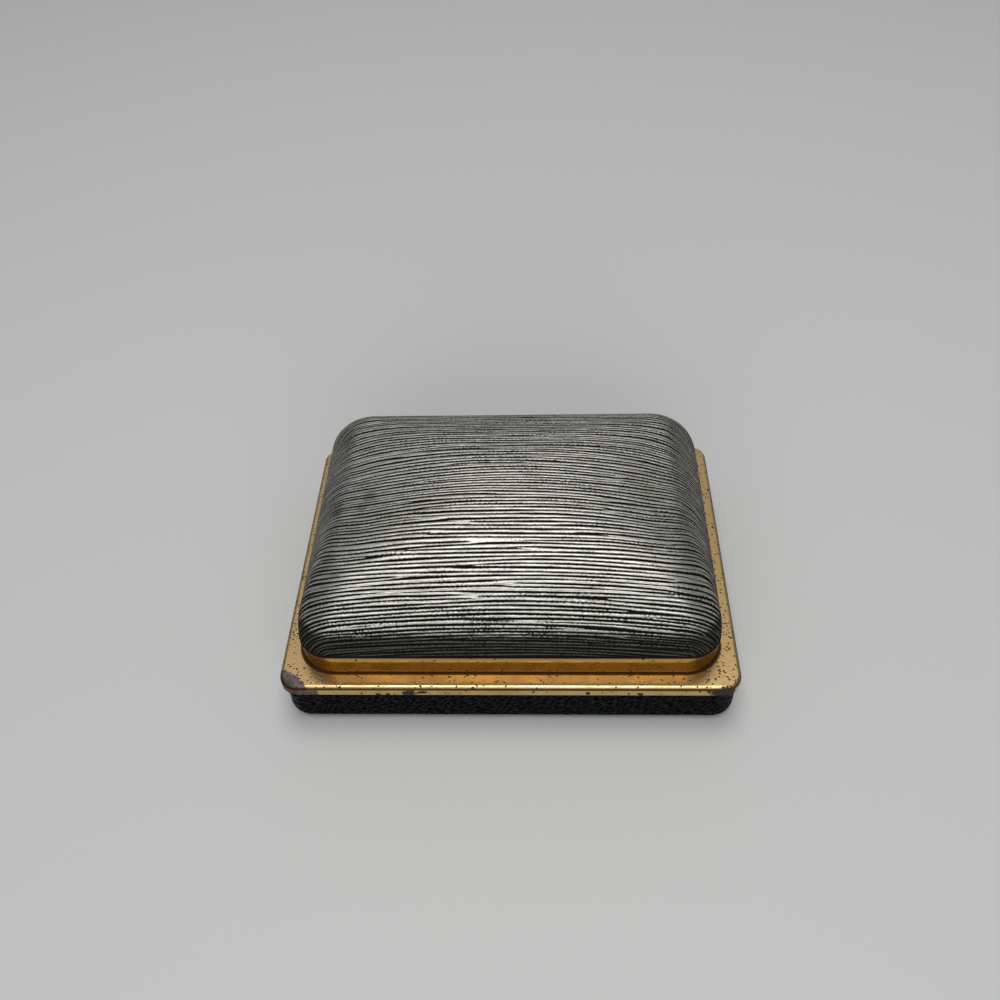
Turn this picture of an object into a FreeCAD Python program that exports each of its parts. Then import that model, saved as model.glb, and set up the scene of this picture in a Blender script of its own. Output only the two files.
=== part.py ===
"""Small hinged instrument case, modelled closed.

A gilt pressed frame carries a leather-covered tray below and two sprung hinges behind.
The lid is a gilt rim with a padded dome, covered in ribbed cloth and lined inside.
Millimetres, +Z up, +Y towards the hinges, origin in the middle of the underside.
"""
import FreeCAD, Part
import math
import os
import re
import Sketcher
from FreeCAD import Placement, Rotation, Vector

SIZES = (
    # Base frame, one pressed sheet: a flat flange with its edge turned down as a lip.
    ("case_width", 106, "flange, left to right"),
    ("case_depth", 80, "flange, front to back"),
    ("base_height", 13.4, "top of the flange above the table"),
    ("flange_corner_radius", 4.3, "flange corners in plan"),
    ("flange_edge_radius", 0.9, "roll of the flange into its lip"),
    ("flange_width", 8, "flange from its edge to the opening"),
    ("opening_corner_radius", 5, "corners of the opening in the flange"),
    ("lip_height", 2.65, "flange top to the lower edge of the lip"),
    ("frame_gauge", 0.8, "sheet of the base frame"),
    # Tray under the frame: a board box, its leather skin and the panel that it rests on.
    ("tray_inset", 0.3, "leather set back from the lip"),
    ("tray_corner_radius", 5.8, "corners of the covered tray in plan"),
    ("tray_edge_radius", 2.2, "rounded lower edge of the covered tray"),
    ("tray_wall", 2.1, "side walls of the board box"),
    ("tray_floor", 2, "floor of the board box"),
    ("leather_gauge", 0.6, "leather skin"),
    ("leather_turn_in", 10, "leather turned under the base"),
    ("panel_margin", 4, "bottom panel inside the edge of the tray"),
    ("panel_corner_radius", 4, "corners of the bottom panel"),
    ("panel_gauge", 0.4, "bottom panel"),
    ("skin_gap", 0.05, "glue line between a skin and what it covers"),
    # Insert in the tray, with recesses for three bows and a lead tube.
    ("insert_clearance", 0.3, "insert inside the opening of the frame"),
    ("insert_proud", 2, "insert above the flange"),
    ("velvet_gauge", 0.5, "velvet over the insert"),
    ("velvet_skirt", 4, "velvet turned down below the flange"),
    ("recess_depth", 9.5, "bow recesses"),
    ("bow_length", 78, "bow recess, end to end"),
    ("bow_width", 9, "bow recess across its legs"),
    ("bow_pitch", 16.5, "one bow recess to the next"),
    ("bow_row_shift", 4.5, "middle bow recess in front of the centre line"),
    ("screw_radius", 7, "round bay for a bow's adjusting screw"),
    ("screw_shift", 14, "round bay right of the middle"),
    ("tube_length", 46, "lead tube recess, end to end"),
    ("tube_width", 7, "lead tube recess across"),
    ("tube_shift", 24.8, "lead tube recess behind the centre line"),
    ("tube_depth", 6, "lead tube recess"),
    # Lid rim, a drafted gilt band that stands on the flange.
    ("rim_inset", 4.2, "rim inside the edge of the flange"),
    ("rim_height", 5.6, "rim above the flange"),
    ("rim_draft", 0.4, "rim leans in by this at its top"),
    ("rim_corner_radius", 8.5, "rim corners in plan"),
    ("rim_wall", 1.2, "rim wall at its foot"),
    ("rim_edge_radius", 0.35, "rolled lower edge of the rim"),
    # Dome over the rim: a pressed shell, its padding and the ribbed cover.
    ("dome_overhang", 0.4, "dome past the top edge of the rim"),
    ("dome_corner_radius", 8.2, "dome corners in plan at its foot"),
    ("dome_edge_run", 9.9, "rounded edge of the dome, inwards"),
    ("dome_edge_rise", 13.9, "rounded edge of the dome, upwards"),
    ("dome_crown", 8.7, "crown over the top of the dome"),
    ("cover_gauge", 0.6, "ribbed cover"),
    ("padding_gauge", 2.5, "padding over the middle of the shell"),
    ("lid_shell_gauge", 1.2, "pressed shell of the lid"),
    ("skirt_lift", 0.8, "shell skirt above the flange"),
    # Lining of the lid: a strip round the wall and a padded panel above the insert.
    ("strip_lift", 1, "wall strip above the flange"),
    ("strip_gauge", 0.7, "wall strip"),
    ("lining_height", 9.5, "underside of the panel board above the flange"),
    ("board_gauge", 1, "panel board"),
    ("lining_clearance", 0.35, "panel board and wall strip inside the shell"),
    ("satin_edge_run", 12, "rounded edge of the satin pad, inwards"),
    ("satin_edge_drop", 1.2, "rounded edge of the satin pad, downwards"),
    ("satin_crown", 0.8, "crown of the satin pad"),
    ("satin_clearance", 0.25, "satin pad inside the wall strip"),
    # Hinges behind the rim, with a leaf spring under the middle knuckle of each.
    ("hinge_spacing", 52, "middle of one hinge to the other"),
    ("hinge_clearance", 0.3, "knuckles behind the rim"),
    ("hinge_drop", 0.15, "knuckles dip below the flange top"),
    ("knuckle_radius", 1.4, "knuckles"),
    ("lid_knuckle_length", 6.4, "middle knuckle, on the lid leaf"),
    ("base_knuckle_length", 4.4, "outer knuckles, on the base leaf"),
    ("knuckle_gap", 0.4, "between knuckles along the pin"),
    ("pin_radius", 0.6, "hinge pin"),
    ("pin_fit", 0.03, "bore over pin, on the radius"),
    ("pin_head_radius", 0.95, "peened ends of the pin"),
    ("pin_head_height", 0.35, "peened ends of the pin, along it"),
    ("lid_leaf_width", 14, "lid leaf inside the rim"),
    ("lid_leaf_height", 4.4, "lid leaf"),
    ("lid_leaf_lift", 0.5, "lid leaf above the flange"),
    ("lid_leaf_gauge", 0.6, "sheet of the lid leaf"),
    ("leaf_clearance", 0.4, "cut-outs round the lid leaf"),
    ("base_leaf_height", 7, "base leaf inside the tray"),
    ("base_leaf_gauge", 0.8, "sheet of the base leaf"),
    ("base_leaf_drop", 0.95, "top of the base leaf below the flange top"),
    ("open_angle", 98, "lid opening, degrees"),
    ("cam_flat_depth", 0.2, "two flats on the middle knuckle"),
    ("spring_gauge", 0.3, "leaf spring"),
    ("spring_width", 5, "leaf spring along the hinge"),
    ("spring_leg", 6, "leaf spring, down the base leaf"),
    ("spring_reach", 1, "leaf spring past the hinge axis"),
    ("spring_gap", 0.1, "leaf spring below the round of the knuckle"),
    ("spring_bend_radius", 0.3, "inside of the spring's bend"),
    ("window_clearance", 0.15, "hinge window round the leaf and spring"),
    # Rivets: head on the inside, shank flush with the outside.
    ("rivet_radius", 0.6, "shanks"),
    ("rivet_fit", 0.02, "holes over shanks, on the radius"),
    ("rivet_head_radius", 1.1, "heads at the seat"),
    ("rivet_crown_radius", 0.7, "heads at the top"),
    ("rivet_head_height", 0.45, "heads"),
    ("rivet_spread", 10.6, "two rivets of one leaf"),
    ("lid_rivet_height", 3.3, "lid leaf rivets above the flange"),
    ("base_rivet_drop", 4.4, "base leaf and spring rivets below the flange top"),
    ("shank_cover", 0.35, "end of a lid rivet below the outside of the rim"),
)
ALIASES = {alias for alias, _, _ in SIZES}

# The rounded edge of a pillow is a quarter of an ellipse, then the crown closes over it.
# Corners tighten by a share up the edge and grow rounder over the crown, as a share of its depth.
EDGE_ANGLES = (0, 22.5, 45, 67.5, 90)
CROWN_SHARES = (0.3, 0.6, 0.88)
CORNER_EASE = 0.3
CROWN_ROUND = 0.8
LEVEL_TOLERANCE = 1e-4
SIDES = (("left", -1), ("right", 1))

doc = FreeCAD.newDocument("InstrumentCase")
sheet = doc.addObject("Spreadsheet::Sheet", "Dims")
for row, (alias, amount, note) in enumerate(SIZES, start=1):
    sheet.set("A%d" % row, note)
    sheet.set("B%d" % row, str(amount))
    sheet.setAlias("B%d" % row, alias)
doc.recompute()


def formula(text):
    """Turn a formula over the sheet's aliases into an expression."""
    def cell(word):
        name = word.group()
        return "Dims." + name if name in ALIASES else name
    return re.sub(r"[a-z][a-z_]+", cell, text)


def size(text):
    """Present value of a formula, to start a sketch close to its final shape."""
    return float(sheet.evalExpression(formula(text)))


def bind(item, prop, text):
    item.setExpression(prop, formula(text))


def place(item, x, y, z):
    for axis, text in zip("xyz", (x, y, z)):
        if text:
            bind(item, "Placement.Base." + axis, text)


def new_body(label, x=None, y=None, z=None):
    body = doc.addObject("PartDesign::Body", label)
    body.Label = label
    place(body, x, y, z)
    return body


def origin_plane(body, role):
    return next(item for item in body.Origin.OriginFeatures if item.Role == role)


def sketch(body, name, plane="XY_Plane", x=None, y=None, at=None, turn=None):
    """Sketch on an origin plane, moved in the plane by x and y, along its normal by at."""
    drawing = body.newObject("Sketcher::SketchObject", name)
    drawing.AttachmentSupport = (origin_plane(body, plane), [""])
    drawing.MapMode = "FlatFace"
    if turn:
        drawing.AttachmentOffset = Placement(Vector(), Rotation(Vector(0, 0, 1), size(turn)))
        bind(drawing, "AttachmentOffset.Rotation.Angle", turn)
    for axis, text in zip("xyz", (x, y, at)):
        if text:
            bind(drawing, "AttachmentOffset.Base." + axis, text)
    return drawing


def dimension(drawing, name, constraint, text):
    """Add a sketch dimension and tie it to the sheet."""
    index = drawing.addConstraint(constraint)
    drawing.renameConstraint(index, name)
    bind(drawing, "Constraints." + name, text)


def line(x_start, y_start, x_end, y_end):
    return Part.LineSegment(Vector(x_start, y_start, 0), Vector(x_end, y_end, 0))


def arc(x_centre, y_centre, radius, first_degrees, last_degrees):
    circle_line = Part.Circle(Vector(x_centre, y_centre, 0), Vector(0, 0, 1), radius)
    return Part.ArcOfCircle(circle_line, math.radians(first_degrees), math.radians(last_degrees))


def round_rect(drawing, width, depth, radius):
    """Rounded rectangle about the sketch origin."""
    half_width = size(width) / 2
    half_depth = size(depth) / 2
    round_off = size(radius)
    x_flat = half_width - round_off
    y_flat = half_depth - round_off
    sides = [
        line(-x_flat, -half_depth, x_flat, -half_depth),
        line(half_width, -y_flat, half_width, y_flat),
        line(x_flat, half_depth, -x_flat, half_depth),
        line(-half_width, y_flat, -half_width, -y_flat),
    ]
    corners = [
        arc(x_flat, -y_flat, round_off, -90, 0),
        arc(x_flat, y_flat, round_off, 0, 90),
        arc(-x_flat, y_flat, round_off, 90, 180),
        arc(-x_flat, -y_flat, round_off, 180, 270),
    ]
    drawing.addGeometry(sides + corners, False)
    for number in range(4):
        drawing.addConstraint(Sketcher.Constraint("Tangent", number, 2, 4 + number, 1))
        drawing.addConstraint(Sketcher.Constraint("Tangent", 4 + number, 2, (number + 1) % 4, 1))
    for number, direction in enumerate(("Horizontal", "Vertical", "Horizontal", "Vertical")):
        drawing.addConstraint(Sketcher.Constraint(direction, number))
    for number in (5, 6, 7):
        drawing.addConstraint(Sketcher.Constraint("Equal", 4, number))
    drawing.addConstraint(Sketcher.Constraint("Symmetric", 5, 3, 7, 3, -1, 1))
    dimension(drawing, "radius", Sketcher.Constraint("Radius", 4, round_off), radius)
    dimension(drawing, "width", Sketcher.Constraint("DistanceX", 3, 1, 1, 1, 2 * half_width), width)
    dimension(drawing, "depth", Sketcher.Constraint("DistanceY", 0, 1, 2, 1, 2 * half_depth), depth)
    return drawing


def slot(drawing, length, width):
    """Slot with round ends along the sketch's X axis, about its origin."""
    half_run = (size(length) - size(width)) / 2
    radius = size(width) / 2
    drawing.addGeometry([
        line(-half_run, -radius, half_run, -radius),
        arc(half_run, 0, radius, -90, 90),
        line(half_run, radius, -half_run, radius),
        arc(-half_run, 0, radius, 90, 270),
    ], False)
    for number in range(4):
        drawing.addConstraint(Sketcher.Constraint("Tangent", number, 2, (number + 1) % 4, 1))
    drawing.addConstraint(Sketcher.Constraint("Horizontal", 0))
    drawing.addConstraint(Sketcher.Constraint("Equal", 1, 3))
    drawing.addConstraint(Sketcher.Constraint("Symmetric", 1, 3, 3, 3, -1, 1))
    dimension(drawing, "radius", Sketcher.Constraint("Radius", 1, radius), "(%s) / 2" % width)
    run = Sketcher.Constraint("DistanceX", 0, 1, 0, 2, 2 * half_run)
    dimension(drawing, "run", run, "(%s) - (%s)" % (length, width))
    return drawing


def rect(drawing, width, height):
    """Rectangle about the sketch origin."""
    half_width = size(width) / 2
    half_height = size(height) / 2
    drawing.addGeometry([
        line(-half_width, -half_height, half_width, -half_height),
        line(half_width, -half_height, half_width, half_height),
        line(half_width, half_height, -half_width, half_height),
        line(-half_width, half_height, -half_width, -half_height),
    ], False)
    for number in range(4):
        drawing.addConstraint(Sketcher.Constraint("Coincident", number, 2, (number + 1) % 4, 1))
    for number, direction in enumerate(("Horizontal", "Vertical", "Horizontal", "Vertical")):
        drawing.addConstraint(Sketcher.Constraint(direction, number))
    drawing.addConstraint(Sketcher.Constraint("Symmetric", 0, 1, 2, 1, -1, 1))
    dimension(drawing, "width", Sketcher.Constraint("DistanceX", 0, 1, 0, 2, 2 * half_width), width)
    dimension(drawing, "height", Sketcher.Constraint("DistanceY", 1, 1, 1, 2, 2 * half_height), height)
    return drawing


def disc(drawing, radius):
    """Circle about the sketch origin."""
    drawing.addGeometry(Part.Circle(Vector(), Vector(0, 0, 1), size(radius)), False)
    drawing.addConstraint(Sketcher.Constraint("Coincident", 0, 3, -1, 1))
    dimension(drawing, "radius", Sketcher.Constraint("Radius", 0, size(radius)), radius)
    return drawing


def disc_pair(drawing, spread, radius):
    """Two equal circles on the sketch's X axis, either side of its origin."""
    half_spread = size(spread) / 2
    for x_centre in (-half_spread, half_spread):
        drawing.addGeometry(Part.Circle(Vector(x_centre, 0, 0), Vector(0, 0, 1), size(radius)), False)
    drawing.addConstraint(Sketcher.Constraint("Symmetric", 0, 3, 1, 3, -1, 1))
    drawing.addConstraint(Sketcher.Constraint("PointOnObject", 0, 3, -1))
    drawing.addConstraint(Sketcher.Constraint("Equal", 0, 1))
    dimension(drawing, "radius", Sketcher.Constraint("Radius", 0, size(radius)), radius)
    dimension(drawing, "spread", Sketcher.Constraint("DistanceX", 0, 3, 1, 3, 2 * half_spread), spread)
    return drawing


def pad(body, profile, length):
    """Add material along the normal of the profile."""
    feature = body.newObject("PartDesign::Pad", "Pad")
    feature.Profile = profile
    bind(feature, "Length", length)
    doc.recompute()
    return feature


def pocket(body, profile, depth, along_normal=False):
    """Cut against the normal of the profile, or along it, and make sure that it cuts."""
    before = body.Shape.Volume
    feature = body.newObject("PartDesign::Pocket", "Pocket")
    feature.Profile = profile
    bind(feature, "Length", depth)
    feature.Reversed = along_normal
    doc.recompute()
    if body.Shape.Volume > before - LEVEL_TOLERANCE:
        raise RuntimeError("a pocket of %s cuts nothing" % body.Label)
    return feature


def loft(body, sections, kind="PartDesign::AdditiveLoft"):
    feature = body.newObject(kind, "Loft")
    feature.Profile = sections[0]
    feature.Sections = sections[1:]
    doc.recompute()
    return feature


def level_edges(feature, height):
    """Names of the edges that lie in the level plane at this height."""
    level = size(height)
    names = []
    for number, edge in enumerate(feature.Shape.Edges, start=1):
        box = edge.BoundBox
        if max(abs(box.ZMin - level), abs(box.ZMax - level)) < LEVEL_TOLERANCE:
            names.append("Edge%d" % number)
    return names


def ridge_edges(feature, y, z):
    """Names of the edges that run along X at this place in the YZ plane."""
    names = []
    for number, edge in enumerate(feature.Shape.Edges, start=1):
        box = edge.BoundBox
        spread = (box.YMin - size(y), box.YMax - size(y), box.ZMin - size(z), box.ZMax - size(z))
        if max(abs(offset) for offset in spread) < LEVEL_TOLERANCE:
            names.append("Edge%d" % number)
    return names


def round_edges(body, feature, names, radius):
    rounding = body.newObject("PartDesign::Fillet", "Fillet")
    rounding.Base = (feature, names)
    bind(rounding, "Radius", radius)
    doc.recompute()
    return rounding


def pillow_sections(body, tag, width, depth, radius, run, rise, crown, base, up="1"):
    """Rounded outlines that shrink as they climb a rounded edge and the crown above it."""
    steps = []
    for angle in EDGE_ANGLES:
        inwards = 1 - math.cos(math.radians(angle))
        upwards = math.sin(math.radians(angle))
        inset = "%.5f * (%s)" % (inwards, run)
        corner = "%.5f * (%s)" % (1 - CORNER_EASE * inwards, radius)
        outline = "(%s) - 2 * (%s)" % (width, inset), "(%s) - 2 * (%s)" % (depth, inset), corner
        steps.append((inset, "%.5f * (%s)" % (upwards, rise), outline))
    crown_width = "((%s) - 2 * (%s))" % (width, run)
    crown_depth = "((%s) - 2 * (%s))" % (depth, run)
    for share in CROWN_SHARES:
        left = 1 - share
        inset = "(%s) + %.3f * %s / 2" % (run, share, crown_depth)
        corner = "%.5f * (%s) + %.5f * %s / 2" % (
            left * left * (1 - CORNER_EASE), radius, left * share * CROWN_ROUND, crown_depth)
        outline = "%.3f * %s" % (left, crown_width), "%.3f * %s" % (left, crown_depth), corner
        steps.append((inset, rise, outline))
    sections = []
    for number, (inset, lift, outline) in enumerate(steps):
        crown_lift = "(%s) * (1 - (1 - 2 * (%s) / (%s)) ^ 2)" % (crown, inset, depth)
        height = "(%s) + %s * ((%s) + %s)" % (base, up, lift, crown_lift)
        section = sketch(body, "%sSection%d" % (tag, number), at=height)
        sections.append(round_rect(section, *outline))
    return sections


def pillow(body, tag, form, kind="PartDesign::AdditiveLoft"):
    """Loft a pillow in two steps that share a section, so that neither one ripples."""
    sections = pillow_sections(body, tag, *form)
    edge_count = len(EDGE_ANGLES)
    loft(body, sections[:edge_count], kind)
    loft(body, sections[edge_count - 1:], kind)


def wider(outline, amount):
    """Outline (width, depth, radius) grown by an amount on every side."""
    width, depth, radius = outline
    grown = "2 * (%s)" % amount
    return "%s + %s" % (width, grown), "%s + %s" % (depth, grown), "%s + (%s)" % (radius, amount)


def narrower(outline, amount):
    return wider(outline, "-(%s)" % amount)


# Outlines and levels that several pieces share. Lid levels count from the flange top.
FLANGE = ("case_width", "case_depth", "flange_corner_radius")
OPENING = ("case_width - 2 * flange_width", "case_depth - 2 * flange_width", "opening_corner_radius")
TRAY = ("case_width - 2 * tray_inset", "case_depth - 2 * tray_inset", "tray_corner_radius")
BOX_SKIN = "(leather_gauge + skin_gap)"
BOX = narrower(TRAY, BOX_SKIN)
BOX_BOTTOM = "(panel_gauge + leather_gauge + skin_gap)"
BOX_TOP = "(base_height - frame_gauge)"
VELVET = narrower(OPENING, "insert_clearance")
VELVET_TOP = "(base_height + insert_proud)"
RIM = ("case_width - 2 * rim_inset", "case_depth - 2 * rim_inset", "rim_corner_radius")
RIM_TOP = narrower(RIM, "rim_draft")
SHELL = narrower(RIM, "rim_wall + skin_gap")
SHELL_INSIDE = narrower(SHELL, "lid_shell_gauge")
DOME_WIDTH = "%s + 2 * dome_overhang" % RIM_TOP[0]
DOME_DEPTH = "%s + 2 * dome_overhang" % RIM_TOP[1]
DOME = (DOME_WIDTH, DOME_DEPTH, "dome_corner_radius")
SHELL_RISE = "(dome_edge_rise - cover_gauge - skin_gap - padding_gauge)"
SHELL_INSIDE_RISE = "(%s - lid_shell_gauge)" % SHELL_RISE
HINGE_Y = "(case_depth / 2 - rim_inset + hinge_clearance + knuckle_radius)"
HINGE_Z = "(knuckle_radius - hinge_drop)"
HINGE_LENGTH = "(lid_knuckle_length + 2 * knuckle_gap + 2 * base_knuckle_length)"
BOX_BACK = "(case_depth / 2 - tray_inset - %s)" % BOX_SKIN
BOX_INSIDE_BACK = "(%s - tray_wall)" % BOX_BACK
LEAF_BACK = "(%s - skin_gap)" % BOX_INSIDE_BACK
LEAF_FRONT = "(%s - base_leaf_gauge)" % LEAF_BACK
SPRING_BACK = "(%s - skin_gap)" % LEAF_FRONT
SPRING_FRONT = "(%s - spring_gauge)" % SPRING_BACK
RIM_INSIDE_BACK = "(case_depth / 2 - rim_inset - rim_wall)"
RIVET_HOLE = "rivet_radius + rivet_fit"


def shell_lean(height):
    """How far the inside of the lid shell has leaned in at a height above the flange."""
    share = "((%s) - rim_height) / %s" % (height, SHELL_INSIDE_RISE)
    return "dome_edge_run * (1 - sqrt(1 - (%s) ^ 2))" % share


def hinge_x(sign):
    return "%d * hinge_spacing / 2" % sign


def build_base_frame():
    body = new_body("base_frame", z="base_height")
    blank = round_rect(sketch(body, "Blank", at="-lip_height"), *FLANGE)
    sheet_blank = pad(body, blank, "lip_height")
    round_edges(body, sheet_blank, level_edges(sheet_blank, "0"), "flange_edge_radius")
    hollow = round_rect(sketch(body, "Hollow", at="-lip_height"), *narrower(FLANGE, "frame_gauge"))
    pocket(body, hollow, "lip_height - frame_gauge", along_normal=True)
    pocket(body, round_rect(sketch(body, "Opening"), *OPENING), "lip_height")
    window_front = "(%s - window_clearance)" % SPRING_FRONT
    window_back = "(%s + knuckle_radius)" % HINGE_Y
    middle = "(%s + %s) / 2" % (window_front, window_back)
    for side, sign in SIDES:
        window = sketch(body, "Window" + side, x=hinge_x(sign), y=middle)
        rect(window, HINGE_LENGTH + " + 2 * window_clearance", "%s - %s" % (window_back, window_front))
        pocket(body, window, "frame_gauge + window_clearance")
    return body


def rear_holes(body, name, x, z, inside, depth, spread=None):
    """Holes along Y through a rear wall, from its inside face backwards."""
    drawing = sketch(body, name, "XZ_Plane", x=x, y=z, at="-(%s) + rivet_fit" % inside)
    if spread:
        disc_pair(drawing, spread, RIVET_HOLE)
    else:
        disc(drawing, RIVET_HOLE)
    pocket(body, drawing, "(%s) + 2 * rivet_fit" % depth)


def build_base_shell():
    body = new_body("base_shell")
    outline = round_rect(sketch(body, "Block", at=BOX_BOTTOM), *BOX)
    block = pad(body, outline, "%s - %s" % (BOX_TOP, BOX_BOTTOM))
    round_edges(body, block, level_edges(block, BOX_BOTTOM), "tray_edge_radius - %s" % BOX_SKIN)
    room = round_rect(sketch(body, "Room", at=BOX_TOP), *narrower(BOX, "tray_wall"))
    pocket(body, room, "%s - %s - tray_floor" % (BOX_TOP, BOX_BOTTOM))
    rivet_z = "base_height - base_rivet_drop"
    for side, sign in SIDES:
        seat = (hinge_x(sign), rivet_z, BOX_INSIDE_BACK, "tray_wall")
        rear_holes(body, "Holes" + side, *seat, "rivet_spread")
        rear_holes(body, "SpringHole" + side, *seat)
    return body


def build_base_cover():
    body = new_body("base_cover")
    pad(body, round_rect(sketch(body, "Block", at="panel_gauge"), *TRAY),
        "base_height - lip_height - panel_gauge")
    room = round_rect(sketch(body, "Room", at="base_height - lip_height"), *narrower(TRAY, "leather_gauge"))
    cut = pocket(body, room, "base_height - lip_height - panel_gauge - leather_gauge")
    floor_edges = level_edges(cut, "panel_gauge + leather_gauge")
    inner = round_edges(body, cut, floor_edges, "tray_edge_radius - leather_gauge")
    round_edges(body, inner, level_edges(inner, "panel_gauge"), "tray_edge_radius")
    turned = (TRAY[0] + " - 2 * leather_turn_in", TRAY[1] + " - 2 * leather_turn_in", "panel_corner_radius")
    pocket(body, round_rect(sketch(body, "TurnIn", at="panel_gauge"), *turned), BOX_BOTTOM, along_normal=True)
    return body


def build_bottom_panel():
    body = new_body("bottom_panel")
    outline = (TRAY[0] + " - 2 * panel_margin", TRAY[1] + " - 2 * panel_margin", "panel_corner_radius")
    pad(body, round_rect(sketch(body, "Panel"), *outline), "panel_gauge")
    return body


def bow_rows():
    """Formulas for the middle line of each bow recess, front to back."""
    return ["%d * bow_pitch - bow_row_shift" % row for row in (-1, 0, 1)]


def recess_profiles(body, tag, level, margin):
    """Outlines of the recesses, grown by a margin: each bow's slot and screw bay, the tube's slot."""
    grown = "2 * (%s)" % margin
    profiles = []
    for number, row in enumerate(bow_rows()):
        legs = sketch(body, "%sLegs%d" % (tag, number), y=row, at=level)
        profiles.append(slot(legs, "bow_length + " + grown, "bow_width + " + grown))
        bay = sketch(body, "%sBay%d" % (tag, number), x="screw_shift", y=row, at=level)
        profiles.append(disc(bay, "screw_radius + (%s)" % margin))
    return profiles


def tube_profile(body, tag, level, margin):
    grown = "2 * (%s)" % margin
    drawing = sketch(body, tag + "Tube", y="tube_shift", at=level)
    return slot(drawing, "tube_length + " + grown, "tube_width + " + grown)


def build_insert_tray():
    body = new_body("insert_tray")
    floor = "%s + tray_floor" % BOX_BOTTOM
    skin = "(velvet_gauge + skin_gap)"
    top = "%s - %s" % (VELVET_TOP, skin)
    outline = narrower(VELVET, skin)
    pad(body, round_rect(sketch(body, "Block", at=floor), *outline), "(%s) - (%s)" % (top, floor))
    for profile in recess_profiles(body, "Recess", top, skin):
        pocket(body, profile, "recess_depth")
    pocket(body, tube_profile(body, "Recess", top, skin), "tube_depth")
    return body


def build_insert_velvet():
    body = new_body("insert_velvet")
    hem = "base_height - velvet_skirt"
    pad(body, round_rect(sketch(body, "Cap", at=hem), *VELVET), "insert_proud + velvet_skirt")
    inside = round_rect(sketch(body, "Inside", at=hem), *narrower(VELVET, "velvet_gauge"))
    pocket(body, inside, "insert_proud + velvet_skirt - velvet_gauge", along_normal=True)
    bow_floor = "%s - recess_depth - velvet_gauge" % VELVET_TOP
    for profile in recess_profiles(body, "Sleeve", bow_floor, "velvet_gauge"):
        pad(body, profile, "recess_depth + velvet_gauge")
    tube_floor = "%s - tube_depth - velvet_gauge" % VELVET_TOP
    pad(body, tube_profile(body, "Sleeve", tube_floor, "velvet_gauge"), "tube_depth + velvet_gauge")
    for profile in recess_profiles(body, "Recess", VELVET_TOP, "0"):
        pocket(body, profile, "recess_depth")
    pocket(body, tube_profile(body, "Recess", VELVET_TOP, "0"), "tube_depth")
    return body


def build_lid_rim():
    body = new_body("lid_rim", z="base_height")
    band = pad(body, round_rect(sketch(body, "Foot"), *RIM), "rim_height")
    bind(band, "TaperAngle", "-atan(rim_draft / rim_height)")
    doc.recompute()
    round_edges(body, band, level_edges(band, "0"), "rim_edge_radius")
    inside = round_rect(sketch(body, "Inside"), *narrower(RIM, "rim_wall"))
    pocket(body, inside, "rim_height", along_normal=True)
    notch_top = "(%s + lid_leaf_gauge / 2 + leaf_clearance)" % HINGE_Z
    for side, sign in SIDES:
        notch = sketch(body, "Notch" + side, "XZ_Plane", x=hinge_x(sign), y="%s / 2" % notch_top,
                       at="-%s + rivet_fit" % RIM_INSIDE_BACK)
        rect(notch, "lid_knuckle_length + 2 * leaf_clearance", notch_top)
        pocket(body, notch, "rim_wall + 2 * rivet_fit")
        rear_holes(body, "Holes" + side, hinge_x(sign), "lid_rivet_height",
                   RIM_INSIDE_BACK, "rim_wall", "rivet_spread")
    return body


def build_lid_shell():
    body = new_body("lid_shell", z="base_height")
    pad(body, round_rect(sketch(body, "Skirt", at="skirt_lift"), *SHELL), "rim_height - skirt_lift")
    outside = SHELL + ("dome_edge_run", SHELL_RISE, "dome_crown", "rim_height")
    pillow(body, "Outside", outside)
    pocket(body, round_rect(sketch(body, "Mouth", at="skirt_lift"), *SHELL_INSIDE),
           "rim_height - skirt_lift", along_normal=True)
    inside = SHELL_INSIDE + ("dome_edge_run", SHELL_INSIDE_RISE, "dome_crown", "rim_height")
    pillow(body, "Inside", inside, "PartDesign::SubtractiveLoft")
    notch_top = "(lid_leaf_lift + lid_leaf_height + leaf_clearance)"
    for side, sign in SIDES:
        notch = sketch(body, "Notch" + side, "XZ_Plane", x=hinge_x(sign), y="%s / 2" % notch_top,
                       at="-%s + lid_shell_gauge + 2 * skin_gap" % RIM_INSIDE_BACK)
        rect(notch, "lid_leaf_width + 2 * leaf_clearance", notch_top)
        pocket(body, notch, "lid_shell_gauge + 2 * skin_gap")
    return body


def build_lid_padding():
    body = new_body("lid_padding", z="base_height")
    skin = "(cover_gauge + skin_gap)"
    outside = narrower(DOME, skin) + (
        "dome_edge_run", "dome_edge_rise - 2 * %s" % skin, "dome_crown", "rim_height + %s" % skin)
    pillow(body, "Outside", outside)
    inside = wider(SHELL, "skin_gap") + (
        "dome_edge_run", "%s + skin_gap" % SHELL_RISE, "dome_crown", "rim_height")
    pillow(body, "Inside", inside, "PartDesign::SubtractiveLoft")
    return body


def build_lid_cover():
    body = new_body("lid_cover", z="base_height")
    outside = DOME + ("dome_edge_run", "dome_edge_rise", "dome_crown", "rim_height")
    pillow(body, "Outside", outside)
    inside = narrower(DOME, "cover_gauge") + (
        "dome_edge_run", "dome_edge_rise - 2 * cover_gauge", "dome_crown", "rim_height + cover_gauge")
    pillow(body, "Inside", inside, "PartDesign::SubtractiveLoft")
    hem = round_rect(sketch(body, "Hem", at="rim_height"), *wider(SHELL, "skin_gap"))
    pocket(body, hem, "2 * cover_gauge", along_normal=True)
    return body


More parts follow.
